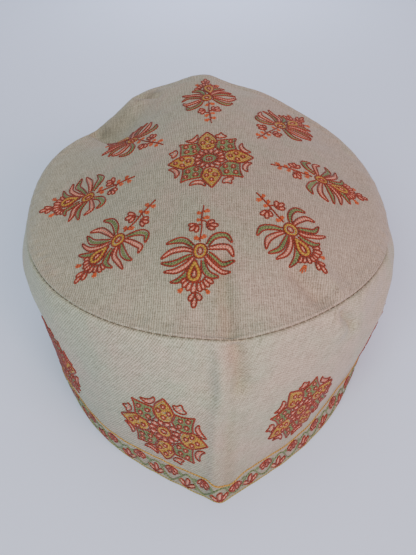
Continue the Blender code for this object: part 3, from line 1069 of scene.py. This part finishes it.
def by_hand(place, seed, lap):
    """Places moved a little by seeded waves, as a figure drawn and stitched by hand is.

    Where the places run round the band, a place one lap on is moved in the same way.
    """
    sideways = ripples(seed, **WOBBLE_WAVES)
    lengthways = ripples(seed + 1000, **WOBBLE_WAVES)
    x, y = place[:, 0], place[:, 1]
    if lap:
        x = x - lap * np.round(x / lap)
    return place + HAND_WOBBLE * np.stack([rippled(sideways, x, y), rippled(lengthways, x, y)], axis=-1)


# How far before and behind a point its row's direction on the cloth is read
STEP_AHEAD = 0.3


def sewn(name, rows, cloth, materials, seed, lap=0.0):
    """One piece of all rows: their section carried along each line on the cloth.

    At each step the section stands on the cloth's normal and across the row, and each
    ring of points is joined to the next. The UV map stitch runs one unit a stitch
    along a row and from -1 to 1 across it.
    """
    place, step, wide, high, lift, count = (np.concatenate([row[key] for row in rows])
                                            for key in ("place", "step", "wide", "high", "lift", "count"))
    place = by_hand(place, seed, lap)
    thread = np.repeat([row["thread"] for row in rows], [len(row["place"]) for row in rows])
    x, y = place[:, 0], place[:, 1]
    ahead_x, ahead_y = STEP_AHEAD * step[:, 0], STEP_AHEAD * step[:, 1]
    centre = cloth(x, y)
    normal = facing(cloth, x, y)
    forward = cloth(x + ahead_x, y + ahead_y) - cloth(x - ahead_x, y - ahead_y)
    side = unit(np.cross(forward, normal))
    across = np.array([part["across"] for part in ROW_SECTION])
    up = np.array([part["up"] for part in ROW_SECTION])
    raised = normal[:, None, :] * (high[:, None] * up + lift[:, None])[..., None]
    points = centre[:, None, :] + side[:, None, :] * (wide[:, None] * across)[..., None] + raised
    sides = len(ROW_SECTION)
    first = np.cumsum([0] + [len(row["place"]) for row in rows])[:-1]
    last = first + [len(row["place"]) - 1 for row in rows]
    following = np.arange(len(place)) + 1
    is_closed = np.array([row["closed"] for row in rows])
    following[last] = np.where(is_closed, first, -1)
    here = np.flatnonzero(following >= 0)
    there = following[here]
    k = np.arange(sides)
    k_next = (k + 1) % sides
    quads = np.stack([here[:, None] * sides + k, there[:, None] * sides + k,
                      there[:, None] * sides + k_next, here[:, None] * sides + k_next], axis=-1)
    run_here = count[here][:, None, None]
    run_there = run_here + 1.0 / RINGS_PER_STITCH
    u = np.broadcast_to(np.concatenate([run_here, run_there, run_there, run_here], axis=2),
                        (len(here), sides, 4))
    v_of = 2.0 * across
    v = np.broadcast_to(np.stack([v_of[k], v_of[k], v_of[k_next], v_of[k_next]], axis=-1), u.shape)
    open_rows = np.flatnonzero(~is_closed)
    caps = np.concatenate([first[open_rows][:, None] * sides + k,
                           last[open_rows][:, None] * sides + k[::-1]])
    faces = quads.reshape(-1, 4).tolist() + caps.tolist()
    cap_uv = np.stack([np.repeat(count[caps[:, 0] // sides], sides),
                       np.tile(v_of, len(caps))], axis=-1)
    uv = np.concatenate([np.stack([u, v], axis=-1).reshape(-1, 2), cap_uv])
    colour = np.concatenate([np.repeat(thread[here], sides), thread[caps[:, 0] // sides]])
    mesh = smooth_mesh(name, points, faces, "stitch", uv)
    mesh.polygons.foreach_set("material_index", colour.astype(np.int32))
    return put(name, mesh, materials)


# Patterns of the silk, how many to a metre
FIBRES_PER_METRE = 2600.0
FADES_PER_METRE = 240.0


def thread_silk(name, dark, light):
    """Twisted embroidery silk: two strands a stitch lie in a V, with a soft gloss on
    their crowns and darker gaps where they plunge into the cloth. Its single fibres,
    finer than a hair, wouldn't show, so they are drawn nearly as coarse as the strands.
    """
    material, tree, shader = finish(name, {"Roughness": 0.62, "Specular IOR Level": 0.35,
                                           "Sheen Weight": 0.15})
    stitch = node(tree, "UVMap", uv_map="stitch").outputs[0]
    parts = node(tree, "SeparateXYZ", {0: stitch})
    aside = node(tree, "Math", {0: parts.outputs[1]}, operation="ABSOLUTE").outputs[0]

    # Two slanted strands: the size of a sine, one wave for two stitches
    slanted = node(tree, "Math", {0: aside, 1: -0.55, 2: parts.outputs[0]},
                   operation="MULTIPLY_ADD")
    turned = node(tree, "Math", {0: slanted.outputs[0], 1: math.pi}, operation="MULTIPLY")
    wave = node(tree, "Math", {0: turned.outputs[0]}, operation="SINE")
    strand = node(tree, "Math", {0: wave.outputs[0]}, operation="ABSOLUTE")
    slit = node(tree, "MapRange", {"Value": aside, "From Min": 0.0, "From Max": 0.22,
                                   "To Min": 0.55, "To Max": 1.0})
    plump = node(tree, "Math", {0: strand.outputs[0], 1: slit.outputs[0]},
                 operation="MULTIPLY").outputs[0]

    # Tone between the dark and the light colour: the strands, with painted highlight on
    # their crowns and painted shade in their gaps, single fibres and faded places
    place = node(tree, "TexCoord").outputs["Object"]
    fibre, fade = (node(tree, "TexNoise",
                        {"Vector": place, "Scale": scale, "Detail": 2.0}).outputs["Fac"]
                   for scale in (FIBRES_PER_METRE, FADES_PER_METRE))
    tone = -0.62
    for pattern, weight in ((plump, 1.0), (fibre, 0.5), (fade, 0.9)):
        tone = node(tree, "Math", {0: pattern, 1: weight, 2: tone}, operation="MULTIPLY_ADD",
                    use_clamp=pattern == fade).outputs[0]
    dyed = node(tree, "Mix", {0: tone, 6: linear(dark), 7: linear(light)}, data_type="RGBA")
    bump = node(tree, "Bump", {"Height": plump, "Strength": 0.55, "Distance": 0.2 * MM})
    tree.links.new(dyed.outputs[2], shader.inputs["Base Color"])
    tree.links.new(bump.outputs[0], shader.inputs["Normal"])
    return material


thread_materials = [thread_silk(*silk) for silk in THREADS.values()]


def turned_by(points, degrees):
    """Points turned clockwise about the motif's centre, so that up goes to the right."""
    angle = math.radians(degrees)
    points = np.asarray(points, dtype=float)
    x = points[:, 0] * math.cos(angle) + points[:, 1] * math.sin(angle)
    y = -points[:, 0] * math.sin(angle) + points[:, 1] * math.cos(angle)
    return np.stack([x, y], axis=-1)


def mirrored(points):
    """Points on the other side of the upright axis."""
    return np.asarray(points, dtype=float) * np.array([-1.0, 1.0])


def circle(centre, radius, squash=1.0):
    """Closed ring about a centre: cosine and sine of even turns times the radius, and
    as tall as squash times its width.
    """
    turns = np.linspace(0.0, 2.0 * math.pi, 33)
    return np.asarray(centre) + radius * np.stack([np.cos(turns), squash * np.sin(turns)], axis=-1)


# Layers of a filling: what share of a layer stays free in the middle, how many layers
# in the first row lies, and how much of the room between two copies a row takes
FILL_MIDDLE = 0.4
FILL_INSET = 0.95
FILL_SHARE = 0.98


def nested_fill(rows, thread, outline, layers):
    """Fill an outline with ever smaller copies of it about its middle.

    A row is as wide as the cloth between two copies, so the rows close up: the shrink
    of one layer times the distance from the middle across the line.
    """
    middle = 0.5 * (outline.min(axis=0) + outline.max(axis=0))
    arm = outline - middle
    ahead = unit(np.gradient(outline, axis=0))
    across = np.abs(arm[:, 0] * ahead[:, 1] - arm[:, 1] * ahead[:, 0])
    shrink = 1.0 / (layers + FILL_MIDDLE)
    width = np.maximum(NARROWEST_ROW, FILL_SHARE * shrink * across)
    for layer in range(layers):
        size = 1.0 - (layer + FILL_INSET) * shrink
        stitch_row(rows, thread, middle + arm * size, width=width, height=FILL_HEIGHT)


def petal_seed(rows, centre):
    """A seed: a rose middle inside a small brick-red ring, on top of the filling."""
    middle = np.asarray(centre, dtype=float)
    half = np.array([0.0, 0.6])
    stitch_row(rows, "rose", [middle - half, middle + half], width=1.0, height=FILL_HEIGHT, lift=SEED_LIFT)
    stitch_row(rows, "brick", circle(middle, 1.05), width=0.78, height=0.44, lift=SEED_LIFT)


# Small petals: a factor for their full width, and the start, end and margin of the core
BUD_SWELL = 1.15
BUD_CORE = (0.32, 0.84)
BUD_CORE_MARGIN = 0.75


def bud_petal(rows, root, tip, width, outline_width=0.82):
    """A small petal from root to tip: a pointed loop of brick red round a rose core.

    The loop is a teardrop: across by sin t times the 0.6th power of sin (t / 2), along
    by 1 - cos t, with t from 0 at the root through pi at the tip.
    """
    root, tip = np.asarray(root, dtype=float), np.asarray(tip, dtype=float)
    axis = tip - root
    left = np.array([-axis[1], axis[0]]) / np.hypot(*axis)
    t = np.linspace(0.0, 2.0 * math.pi, 37)
    along = 0.5 * (1.0 - np.cos(t))
    across = 0.5 * width * np.sin(t) * np.abs(np.sin(0.5 * t)) ** 0.6 * BUD_SWELL
    stitch_row(rows, "brick", root + along[:, None] * axis + across[:, None] * left, width=outline_width)
    stitch_row(rows, "rose", [root + share * axis for share in BUD_CORE],
               width=max(NARROWEST_ROW, width - BUD_CORE_MARGIN), height=FILL_HEIGHT)


# Half outlines of the two kinds of petal, from inner end to tip, upright
OCHRE_PETAL_SIDE = ((0.0, 6.6), (2.7, 7.5), (4.7, 10.4), (4.8, 13.2), (3.0, 16.9), (0.0, 20.7))
GREEN_PETAL_INNER = ((0.0, 7.8), (3.0, 8.5), (5.2, 10.7), (5.9, 13.4))
GREEN_PETAL_OUTER = ((5.9, 13.4), (3.5, 15.7), (1.4, 18.2), (0.0, 20.7))
SEEDS = ((0.0, 9.9), (-2.35, 12.8), (2.35, 12.8), (0.0, 16.0))

# Leaves that fill the gaps between the petals' tips, upright, and their rose cores
BOW_LEAF = ((-3.7, 19.5), (-3.0, 17.8), (-1.5, 16.5), (0.4, 16.3), (2.2, 16.9), (3.3, 18.2), (3.5, 19.9),
            (1.7, 19.1), (-0.2, 18.7), (-2.0, 18.9))
BOW_CORE = ((-2.3, 18.0), (-1.0, 17.5), (0.6, 17.4), (2.2, 18.1))
ARROW_LEAF = ((-2.9, 18.2), (-1.8, 16.9), (0.3, 16.5), (2.3, 17.3), (3.0, 18.9), (1.4, 19.4),
              (-0.4, 21.0), (-1.3, 19.1))
ARROW_CORE = ((-1.5, 18.0), (0.2, 18.0), (1.5, 18.3))


def rosette(rows, ring_thread, eye_thread, small_petals, dice):
    """Eight petals about a ringed eye, ochre ones upright and across and green between.

    A petal has its filling and the rows of its two sides. Seeds lie on it, a leaf
    stands between its tip and the next one's, and small petals ring the eye.
    """
    green_side = np.vstack([smooth(GREEN_PETAL_INNER), smooth(GREEN_PETAL_OUTER)[1:]])
    for eighth in range(8):
        thread, side = ("green", green_side) if eighth % 2 else ("ochre", smooth(OCHRE_PETAL_SIDE))
        side = side * (1.0 + dice.uniform(-0.03, 0.03))
        outline = turned_by(np.vstack([side, mirrored(side)[::-1]]), 45.0 * eighth)
        nested_fill(rows, thread, outline, 4)
        for half in (side, mirrored(side)):
            stitch_row(rows, "brick", turned_by(half, 45.0 * eighth))
    for eighth in range(8):
        for place in turned_by(np.array(SEEDS) + dice.uniform(-0.25, 0.25, (4, 2)), 45.0 * eighth):
            petal_seed(rows, place)
        leaf, core = (BOW_LEAF, BOW_CORE) if eighth % 3 else (ARROW_LEAF, ARROW_CORE)
        sway = 45.0 * eighth + 22.5 + dice.uniform(-2.0, 2.0)
        stitch_row(rows, "rose", turned_by(smooth(core), sway), width=1.3, height=FILL_HEIGHT)
        stitch_row(rows, "brick", turned_by(smooth(leaf, closed=True), sway), width=0.85)
    for petal in range(small_petals):
        turn = 360.0 / small_petals * (petal + 0.5)
        root, tip = turned_by([(0.0, 3.6), (0.0, 7.3)], turn)
        bud_petal(rows, root, tip, 31.0 / small_petals, outline_width=0.72)
    stitch_row(rows, ring_thread, circle((0.0, 0.0), 2.45), width=1.25, height=FILL_HEIGHT)
    for radius in (3.3, 1.35):
        stitch_row(rows, "brick", circle((0.0, 0.0), radius), width=0.7)
    stitch_row(rows, eye_thread, [(0.0, -0.5), (0.0, 0.5)], width=1.2, height=FILL_HEIGHT)


def placed(cloth, across, up, turn_deg=0.0, wide=1.0, tall=1.0):
    """Cloth surface seen from a motif's own middle, turned and scaled to its size."""
    turn = math.radians(turn_deg)

    def surface(x, y):
        """Surface point at a place of the motif."""
        sx, sy = x * wide, y * tall
        return cloth(across + sx * math.cos(turn) + sy * math.sin(turn),
                     up - sx * math.sin(turn) + sy * math.cos(turn))

    return surface


medallion_rows = []
rosette(medallion_rows, "green", "brick", 14, np.random.default_rng(31))
medallion = sewn("crown_medallion", medallion_rows,
                 placed(crown_cloth, 0.8, 0.4, turn_deg=-4.0, wide=0.98, tall=1.04),
                 thread_materials, seed=5)


# Eight sprigs round the medallion, each worked like it: a stem with small orange leaves
# and two tulips points to the centre, five long leaves stand on each side of an eye,
# and below it hang a drop with a fan of petals and a bud at the outer end.

# Places in a sprig's own millimetres, up towards the crown's centre. From bud to stem
# the sprig leans a little to the right of upright.
SPRIG_EYE = (0.9, -0.4)
SPRIG_LEAN_DEG = 3.7

# Long leaves: their spines from root to tip, and half their width
LONG_LEAVES = table("thread", "root", "near", "far", "tip", "half", rows=(
    ("green", (-2.0, 1.8), (-6.1, 5.2), (-9.8, 6.4), (-13.8, 4.9), 1.4),
    ("rose", (-2.3, 0.0), (-7.0, 0.9), (-11.5, 0.8), (-16.2, -1.7), 1.2),
    ("green", (-2.1, -1.9), (-6.2, -3.8), (-11.0, -5.1), (-15.9, -4.3), 1.2),
    ("rose", (-1.6, -2.9), (-4.8, -6.5), (-9.1, -8.9), (-14.7, -8.4), 1.15),
    ("green", (-0.9, -4.4), (-3.2, -9.0), (-6.8, -12.4), (-12.0, -13.4), 1.3),
    ("green", (3.6, 2.2), (6.8, 5.9), (11.2, 6.9), (13.9, 3.2), 1.3),
    ("rose", (3.8, 0.7), (8.0, 1.4), (12.6, 1.0), (14.7, -2.8), 1.2),
    ("green", (3.8, -1.4), (6.8, -4.0), (10.8, -5.9), (15.0, -5.2), 1.2),
    ("rose", (3.0, -3.0), (5.6, -7.0), (9.6, -9.0), (14.1, -10.7), 1.1),
    ("green", (1.9, -4.6), (2.9, -9.2), (5.0, -11.9), (8.4, -12.4), 1.2),
))

# Small leaves along the stem and beside the bud, and the three petals of the bud
ORANGE_LEAVES = table("root", "tip", rows=(
    ((1.7, 19.0), (-1.2, 20.2)),
    ((2.0, 19.6), (4.9, 20.9)),
    ((1.6, 15.2), (-1.1, 15.6)),
    ((1.8, 15.8), (4.6, 17.0)),
    ((0.8, 5.2), (-1.9, 6.9)),
    ((0.9, 5.4), (3.2, 7.4)),
    ((-5.8, -16.6), (-8.7, -18.9)),
    ((3.1, -16.9), (4.7, -19.8)),
))
BOTTOM_BUD = table("root", "tip", rows=(
    ((-1.5, -18.5), (-3.4, -22.4)),
    ((-0.8, -18.5), (0.9, -22.2)),
    ((-1.2, -20.4), (-1.5, -25.2)),
))

# The stem and its two side stems, and the tulips at the ends of these
STEMS = table("line", "width", rows=(
    (((2.0, 23.6), (1.7, 17.3), (1.3, 11.6), (0.7, 4.0)), 0.85),
    (((1.5, 14.9), (3.0, 14.2), (4.2, 13.0)), 0.75),
    (((1.3, 12.4), (0.5, 13.0), (-0.3, 12.9)), 0.75),
))
TULIPS = table("base", "heading", "size", rows=(
    ((-0.7, 13.1), 226.0, 4.9),
    ((3.2, 11.8), 84.0, 4.9),
))

# Rings of the eye from the middle out, and the drop from its edge inwards, pointed
# up, with its top and bottom on its own upright line
EYE_RINGS = table("thread", "radius", "squash", "width", "height", rows=(
    ("brick", 1.05, 1.5, 0.8, OUTLINE_HEIGHT),
    ("ochre", 2.0, 1.3, 1.1, FILL_HEIGHT),
    ("brick", 2.8, 1.2, 0.75, OUTLINE_HEIGHT),
))
DROP_PLACE = (-0.9, 0.0)
DROP_LEAN_DEG = 4.0
DROP_RINGS = table("thread", "top", "bottom", "half", "width", "lift", rows=(
    ("brick", -4.4, -14.5, 3.3, 0.9, 0.2),
    ("ochre", -5.6, -13.7, 2.3, 1.45, 0.22),
    ("brick", -7.6, -12.7, 1.25, 0.8, 0.24),
))

# Fan of petals round the lower half of the drop, by turns from straight down, and the
# width of its petals and of the bud's
FAN_MIDDLE = (-0.6, -10.7)
FAN_START_DEG = -61.0
FAN_STEP_DEG = 17.4
FAN_PETALS = 8
FAN_ROOT = 3.7
FAN_TIP = 7.7
FAN_PETAL_WIDTH = 1.95
BOTTOM_BUD_WIDTH = 2.0


# Long leaves: how far they stray from their places and widths, the stretch of the
# spine with a row on it, and the width of that row as a share of half the leaf
LEAF_STRAY = 0.45
LEAF_WIDTH_STRAY = 0.08
LEAF_ROW = (0.03, 0.93)
LEAF_ROW_SHARE = 1.3


def long_leaf(rows, leaf, dice):
    """A long leaf: its edges on either side of a curved spine, and a row along it.

    Half its width follows the 0.7th power of a sine, from a narrow root to full just
    past the middle and to nothing at the tip.
    """
    nudge = dice.uniform(-LEAF_STRAY, LEAF_STRAY, (4, 2)) * np.array([[0.1], [0.5], [0.9], [1.3]])
    spine = smooth(np.array([leaf["root"], leaf["near"], leaf["far"], leaf["tip"]]) + nudge)
    run = running_length(spine)
    share = run / run[-1]
    half = leaf["half"] * (1.0 + dice.uniform(-LEAF_WIDTH_STRAY, LEAF_WIDTH_STRAY))
    half = half * np.sin(math.pi * (0.12 + 0.88 * share ** 1.25)) ** 0.7
    ahead = unit(np.gradient(spine, axis=0))
    left = np.stack([-ahead[:, 1], ahead[:, 0]], axis=-1) * half[:, None]
    inside = (share > LEAF_ROW[0]) & (share < LEAF_ROW[1])
    stitch_row(rows, leaf["thread"], spine[inside],
               width=np.maximum(NARROWEST_ROW, LEAF_ROW_SHARE * half[inside]), height=FILL_HEIGHT)
    for side in (-1.0, 1.0):
        stitch_row(rows, "brick", spine + side * left, width=0.88)


# Tulips: how much shorter a petal is for each step aside, how much its length strays,
# how far out it starts and how wide it is
TULIP_SHORTENED = 0.16
TULIP_STRAY = 0.06
TULIP_FOOT = 0.06
TULIP_PETAL_WIDTH = 2.1


def tulip(rows, base, heading_deg, size, dice, petals=3, spread=36.0):
    """A flower of a few petals fanned out from its base, the middle one the longest."""
    base = np.asarray(base, dtype=float)
    for petal in range(petals):
        lean = (petal - 0.5 * (petals - 1)) * spread
        turn = math.radians(heading_deg + lean)
        stray = 1.0 + dice.uniform(-TULIP_STRAY, TULIP_STRAY)
        reach = size * (1.0 - TULIP_SHORTENED * abs(lean) / spread) * stray
        tip = base + reach * np.array([math.sin(turn), math.cos(turn)])
        bud_petal(rows, base + TULIP_FOOT * (tip - base), tip, TULIP_PETAL_WIDTH)


def small_leaf(rows, thread, root, tip):
    """A small solid leaf: three short rows spread from the root towards the tip."""
    root, tip = np.asarray(root, dtype=float), np.asarray(tip, dtype=float)
    axis = tip - root
    left = np.array([-axis[1], axis[0]])
    for lean, reach in ((-0.30, 0.86), (0.0, 1.0), (0.30, 0.86)):
        end = root + reach * (axis + lean * left)
        start = root + 0.12 * axis + 0.25 * lean * left
        middle = 0.5 * (root + end) + 0.08 * lean * left
        stitch_row(rows, thread, smooth([start, middle, end]), width=0.8, height=FILL_HEIGHT)


DROP_SWELL = 1.18


def teardrop(top, bottom, half):
    """Closed drop, pointed at the top: across by sin t times the 1.3rd power of
    sin (t / 2), down by 1 - cos t, with t from 0 at the point round and back.
    """
    t = np.linspace(0.0, 2.0 * math.pi, 41)
    x = half * np.sin(t) * np.abs(np.sin(0.5 * t)) ** 1.3 * DROP_SWELL
    return np.stack([x, top + (bottom - top) * 0.5 * (1.0 - np.cos(t))], axis=-1)


def sprig(rows, dice):
    """All rows of one sprig: leaves, eye, drop, fan, bud, stems, tulips, small leaves."""
    for leaf in LONG_LEAVES:
        long_leaf(rows, leaf, dice)
    eye = np.array(SPRIG_EYE) + dice.uniform(-0.2, 0.2, 2)
    size = 1.0 + dice.uniform(-0.04, 0.12)
    half = np.array([0.0, 0.7])
    stitch_row(rows, "rose", [eye - half, eye + half], width=1.1, height=FILL_HEIGHT)
    for ring in EYE_RINGS:
        stitch_row(rows, ring["thread"], circle(eye, ring["radius"] * size, ring["squash"]),
                   width=ring["width"], height=ring["height"])
    for ring in DROP_RINGS:
        drop = turned_by(teardrop(ring["top"], ring["bottom"], ring["half"]), DROP_LEAN_DEG) + DROP_PLACE
        stitch_row(rows, ring["thread"], drop, width=ring["width"], lift=ring["lift"])
    core = turned_by([(0.0, -9.6), (0.0, -11.9)], DROP_LEAN_DEG) + DROP_PLACE
    stitch_row(rows, "rose", core, width=0.95, lift=0.2)
    for petal in range(FAN_PETALS):
        turn = math.radians(FAN_START_DEG + FAN_STEP_DEG * petal + dice.uniform(-2.0, 2.0))
        out = np.array([math.sin(turn), -math.cos(turn)])
        tip = FAN_TIP + dice.uniform(-0.4, 0.4)
        bud_petal(rows, FAN_MIDDLE + FAN_ROOT * out, FAN_MIDDLE + tip * out, FAN_PETAL_WIDTH)
    for bud in BOTTOM_BUD:
        bud_petal(rows, bud["root"], bud["tip"], BOTTOM_BUD_WIDTH)
    for stem in STEMS:
        stitch_row(rows, "brick", smooth(stem["line"]), width=stem["width"])
    for flower in TULIPS:
        tulip(rows, flower["base"], flower["heading"], flower["size"], dice)
    for leaf in ORANGE_LEAVES:
        sway = dice.uniform(-0.4, 0.4, 2)
        small_leaf(rows, "orange", leaf["root"], np.array(leaf["tip"]) + sway)


# Eyes of the sprigs on the flat crown, the heading from bud to stem in degrees from
# the back towards the right, and each one's size across and along
SPRIGS = table("name", "right", "back", "heading", "wide", "tall", rows=(
    ("front", -2.4, -55.8, 3.7, 1.0, 0.98),
    ("front_right", 36.1, -41.5, -38.2, 1.0, 0.96),
    ("right", 54.0, -2.2, -88.0, 0.88, 1.05),
    ("back_right", 39.6, 42.2, -145.0, 1.0, 1.12),
    ("back", -1.1, 55.8, 174.9, 1.0, 1.04),
    ("back_left", -41.0, 32.0, 129.2, 1.0, 0.99),
    ("left", -59.3, -6.1, 84.7, 1.0, 1.04),
    ("front_left", -39.5, -42.4, 42.1, 1.03, 1.03),
))

sprig_dice = np.random.default_rng(57)
sprigs = []
for row in SPRIGS:
    sprig_rows = []
    sprig(sprig_rows, sprig_dice)
    turn = row["heading"] - SPRIG_LEAN_DEG
    offset = turned_by([(SPRIG_EYE[0] * row["wide"], SPRIG_EYE[1] * row["tall"])], turn)[0]
    worn_place = placed(crown_cloth, row["right"] - offset[0], row["back"] - offset[1], turn_deg=turn,
                        wide=row["wide"], tall=row["tall"])
    sprigs.append(sewn("sprig_" + row["name"], sprig_rows, worn_place, thread_materials,
                       seed=len(sprigs) + 11))


# Band rosettes: the medallion's figure again, nine times round the band between the
# seam and the border, with an ochre ring at the eye and each one set at its own turn.

ROSETTE_UP = 38.0
ROSETTE_WIDE = 0.93
ROSETTE_TALL = 0.98
ROSETTES = table("along", "turn", "size", rows=(
    (-18.4, 2.0, 1.0),
    (45.0, -25.0, 0.91),
    (110.5, 8.0, 0.97),
    (173.2, -12.0, 1.0),
    (238.1, 4.0, 0.96),
    (303.0, 17.0, 1.0),
    (367.8, -6.0, 0.98),
    (430.5, 10.0, 1.0),
    (492.0, -15.0, 0.95),
))

rosette_dice = np.random.default_rng(83)
rosettes = []
for row in ROSETTES:
    rosette_rows = []
    rosette(rosette_rows, "ochre", "rose", 11, rosette_dice)
    number = len(rosettes) + 1
    worn_place = placed(band_cloth, row["along"], ROSETTE_UP, turn_deg=row["turn"],
                        wide=ROSETTE_WIDE * row["size"], tall=ROSETTE_TALL * row["size"])
    rosettes.append(sewn("band_rosette_" + str(number), rosette_rows, worn_place, thread_materials,
                         seed=number + 30))


# Border: a line of ochre silk and one of straw above the rim, with a running vine of
# moss green between them. Tulips stand on the lower line under the vine's peaks and
# hang from the upper one over its dips, and small leaves grow from the vine.

BORDER_REPEATS = 37
TOP_LINE_UP = 15.2
TOP_LINE_WAVE = 0.25
TOP_LINE_WAVES = 9.0
TOP_LINE_DIP = 3.8
DIP_ALONG = 10.5
DIP_HALF_WIDTH = 5.0
BOTTOM_LINE_UP = 1.5
LINE_GAP_AT_JOINT = 0.6
VINE_PEAK_UP = 12.4
VINE_DIP_UP = 3.2
STANDING_UP = 2.2
HANGING_UP = 14.0
HANGING_UP_AT_CREASE = 11.4
border_step = RIM_LENGTH / BORDER_REPEATS

# Small leaves on the vine, along the rim from a peak or from the dip after it
VINE_LEAVES = table("at", "root", "tip", rows=(
    ("peak", (1.9, 10.0), (4.9, 11.2)),
    ("dip", (2.3, 6.2), (5.2, 4.4)),
    ("peak", (-2.4, 9.4), (-4.9, 11.8)),
    ("dip", (-2.2, 5.8), (-4.9, 4.2)),
))


def border(rows, dice):
    """All rows of the border, one repeat after another from the joint at the back."""
    half_line = 0.5 * RIM_LENGTH - LINE_GAP_AT_JOINT
    round_rim = np.linspace(-half_line, half_line, 700)
    dip = TOP_LINE_DIP * bell((round_rim - DIP_ALONG) / DIP_HALF_WIDTH)
    wave = TOP_LINE_WAVE * np.sin(round_rim * 2.0 * math.pi / RIM_LENGTH * TOP_LINE_WAVES)
    stitch_row(rows, "ochre", np.stack([round_rim, TOP_LINE_UP - dip + wave], axis=-1), width=1.1,
               height=0.45)
    bottom_line = np.stack([round_rim, np.full_like(round_rim, BOTTOM_LINE_UP)], axis=-1)
    stitch_row(rows, "straw", bottom_line, width=0.8, height=0.4)
    half = BORDER_REPEATS // 2
    vine = [(CREASE_ALONG_RIM - border_step * (half + 0.5), VINE_DIP_UP)]
    for repeat in range(-half, half + 1):
        peak = CREASE_ALONG_RIM + border_step * repeat
        dip_place = peak + 0.5 * border_step
        vine += [(peak, VINE_PEAK_UP + dice.uniform(-0.5, 0.3)),
                 (dip_place, VINE_DIP_UP + dice.uniform(-0.4, 0.4))]
        standing = (peak + dice.uniform(-0.4, 0.4), STANDING_UP)
        tulip(rows, standing, 0.0, 7.4, dice, spread=38.0)
        hanging = (dip_place + dice.uniform(-0.4, 0.4), HANGING_UP_AT_CREASE if repeat == 0 else HANGING_UP)
        tulip(rows, hanging, 180.0, 6.6, dice, petals=4, spread=23.0)
        for leaf in VINE_LEAVES:
            foot = np.array([peak if leaf["at"] == "peak" else dip_place, 0.0])
            small_leaf(rows, "moss", foot + leaf["root"], foot + leaf["tip"])
    vine[-1] = (vine[0][0] + RIM_LENGTH, vine[0][1])
    stitch_row(rows, "moss", smooth(vine), width=0.85)


border_rows = []
border(border_rows, np.random.default_rng(12))
border_piece = sewn("band_border", border_rows, band_cloth, thread_materials, seed=77, lap=RIM_LENGTH)


# Studio: a plain pale floor that fills the view, large soft lights in front, warm on
# the right and cool on the left, a weak one above the back, a small one low over the
# floor behind, and an even grey sky.

FLOOR_HALF = 6.0
floor_mesh = bpy.data.meshes.new("floor")
floor_corners = [(FLOOR_HALF * x, FLOOR_HALF * y, 0.0) for x, y in ((-1, -1), (1, -1), (1, 1), (-1, 1))]
floor_mesh.from_pydata(floor_corners, [], [(0, 1, 2, 3)])
floor = bpy.data.objects.new("floor", floor_mesh)
bpy.context.scene.collection.objects.link(floor)
paper = finish("matt pale paper", {"Base Color": linear("#DAE4FE"), "Roughness": 0.9})[0]
floor_mesh.materials.append(paper)

sky = bpy.data.worlds.new("even grey sky")
sky.use_nodes = True
background = sky.node_tree.nodes["Background"]
background.inputs["Color"].default_value = linear("#D9DEE8")
background.inputs["Strength"].default_value = 0.36
bpy.context.scene.world = sky

LIGHTS = table("name", "place", "aim", "size", "watts", "colour", rows=(
    ("warm front light", (0.84, -1.8, 1.73), (0.0, 0.0), 1.2, 31.5, "#FFE6E0"),
    ("cool front light", (-1.0, -1.73, 1.73), (0.0, 0.0), 1.2, 42.0, "#E0F4F0"),
    ("warm right light", (1.8, -1.52, 1.16), (0.0, 0.0), 1.2, 35.0, "#FFD8CE"),
    ("cool back light", (0.0, 0.8, 2.53), (0.0, 0.0), 1.2, 9.0, "#F4F1F8"),
    ("background light", (0.0, 0.66, 0.3), (0.0, 0.64), 0.3, 1.0, "#DCE6FF"),
))

# A lamp shines down its own z axis: it is tipped up from that and turned to its aim
AIM_UP = 0.06
for row in LIGHTS:
    lamp = bpy.data.lights.new(row["name"], "AREA")
    lamp.size = row["size"]
    lamp.energy = row["watts"]
    lamp.color = linear(row["colour"])[:3]
    lit = bpy.data.objects.new(row["name"], lamp)
    lit.location = row["place"]
    aim = np.array(row["aim"] + (AIM_UP,)) - np.array(row["place"])
    tip = math.atan2(math.hypot(aim[0], aim[1]), -aim[2])
    lit.rotation_euler = (tip, 0.0, math.atan2(aim[1], aim[0]) - math.pi / 2)
    bpy.context.scene.collection.objects.link(lit)


# Camera: looks down on the cap from in front at 44 degrees, as the photograph does. Its
# focal length is given in the pixels of a frame 555 high, whose height is the sensor's.

CAMERA_PLACE = np.array([3.96, -207.67, 234.4]) * MM
CAMERA_YAW = math.radians(-1.0)
CAMERA_PITCH = math.radians(43.63)
CAMERA_ROLL = math.radians(-0.59)
FOCAL_PIXELS = 540.0
IMAGE_HEIGHT = 555.0
SENSOR = 36.0

gaze = np.array([math.sin(CAMERA_YAW) * math.cos(CAMERA_PITCH),
                 math.cos(CAMERA_YAW) * math.cos(CAMERA_PITCH), -math.sin(CAMERA_PITCH)])
level_right = np.array([math.cos(CAMERA_YAW), -math.sin(CAMERA_YAW), 0.0])
level_up = np.cross(level_right, gaze)
image_right = math.cos(CAMERA_ROLL) * level_right + math.sin(CAMERA_ROLL) * level_up
image_up = -math.sin(CAMERA_ROLL) * level_right + math.cos(CAMERA_ROLL) * level_up
lens = bpy.data.cameras.new("camera")
lens.lens = FOCAL_PIXELS / IMAGE_HEIGHT * SENSOR
lens.sensor_width = SENSOR
lens.clip_start = 0.01
lens.clip_end = 50.0
camera = bpy.data.objects.new("camera", lens)
columns = np.column_stack([image_right, image_up, -gaze, CAMERA_PLACE])
camera.matrix_world = Matrix(columns.tolist() + [[0.0, 0.0, 0.0, 1.0]])
bpy.context.scene.collection.objects.link(camera)
bpy.context.scene.camera = camera
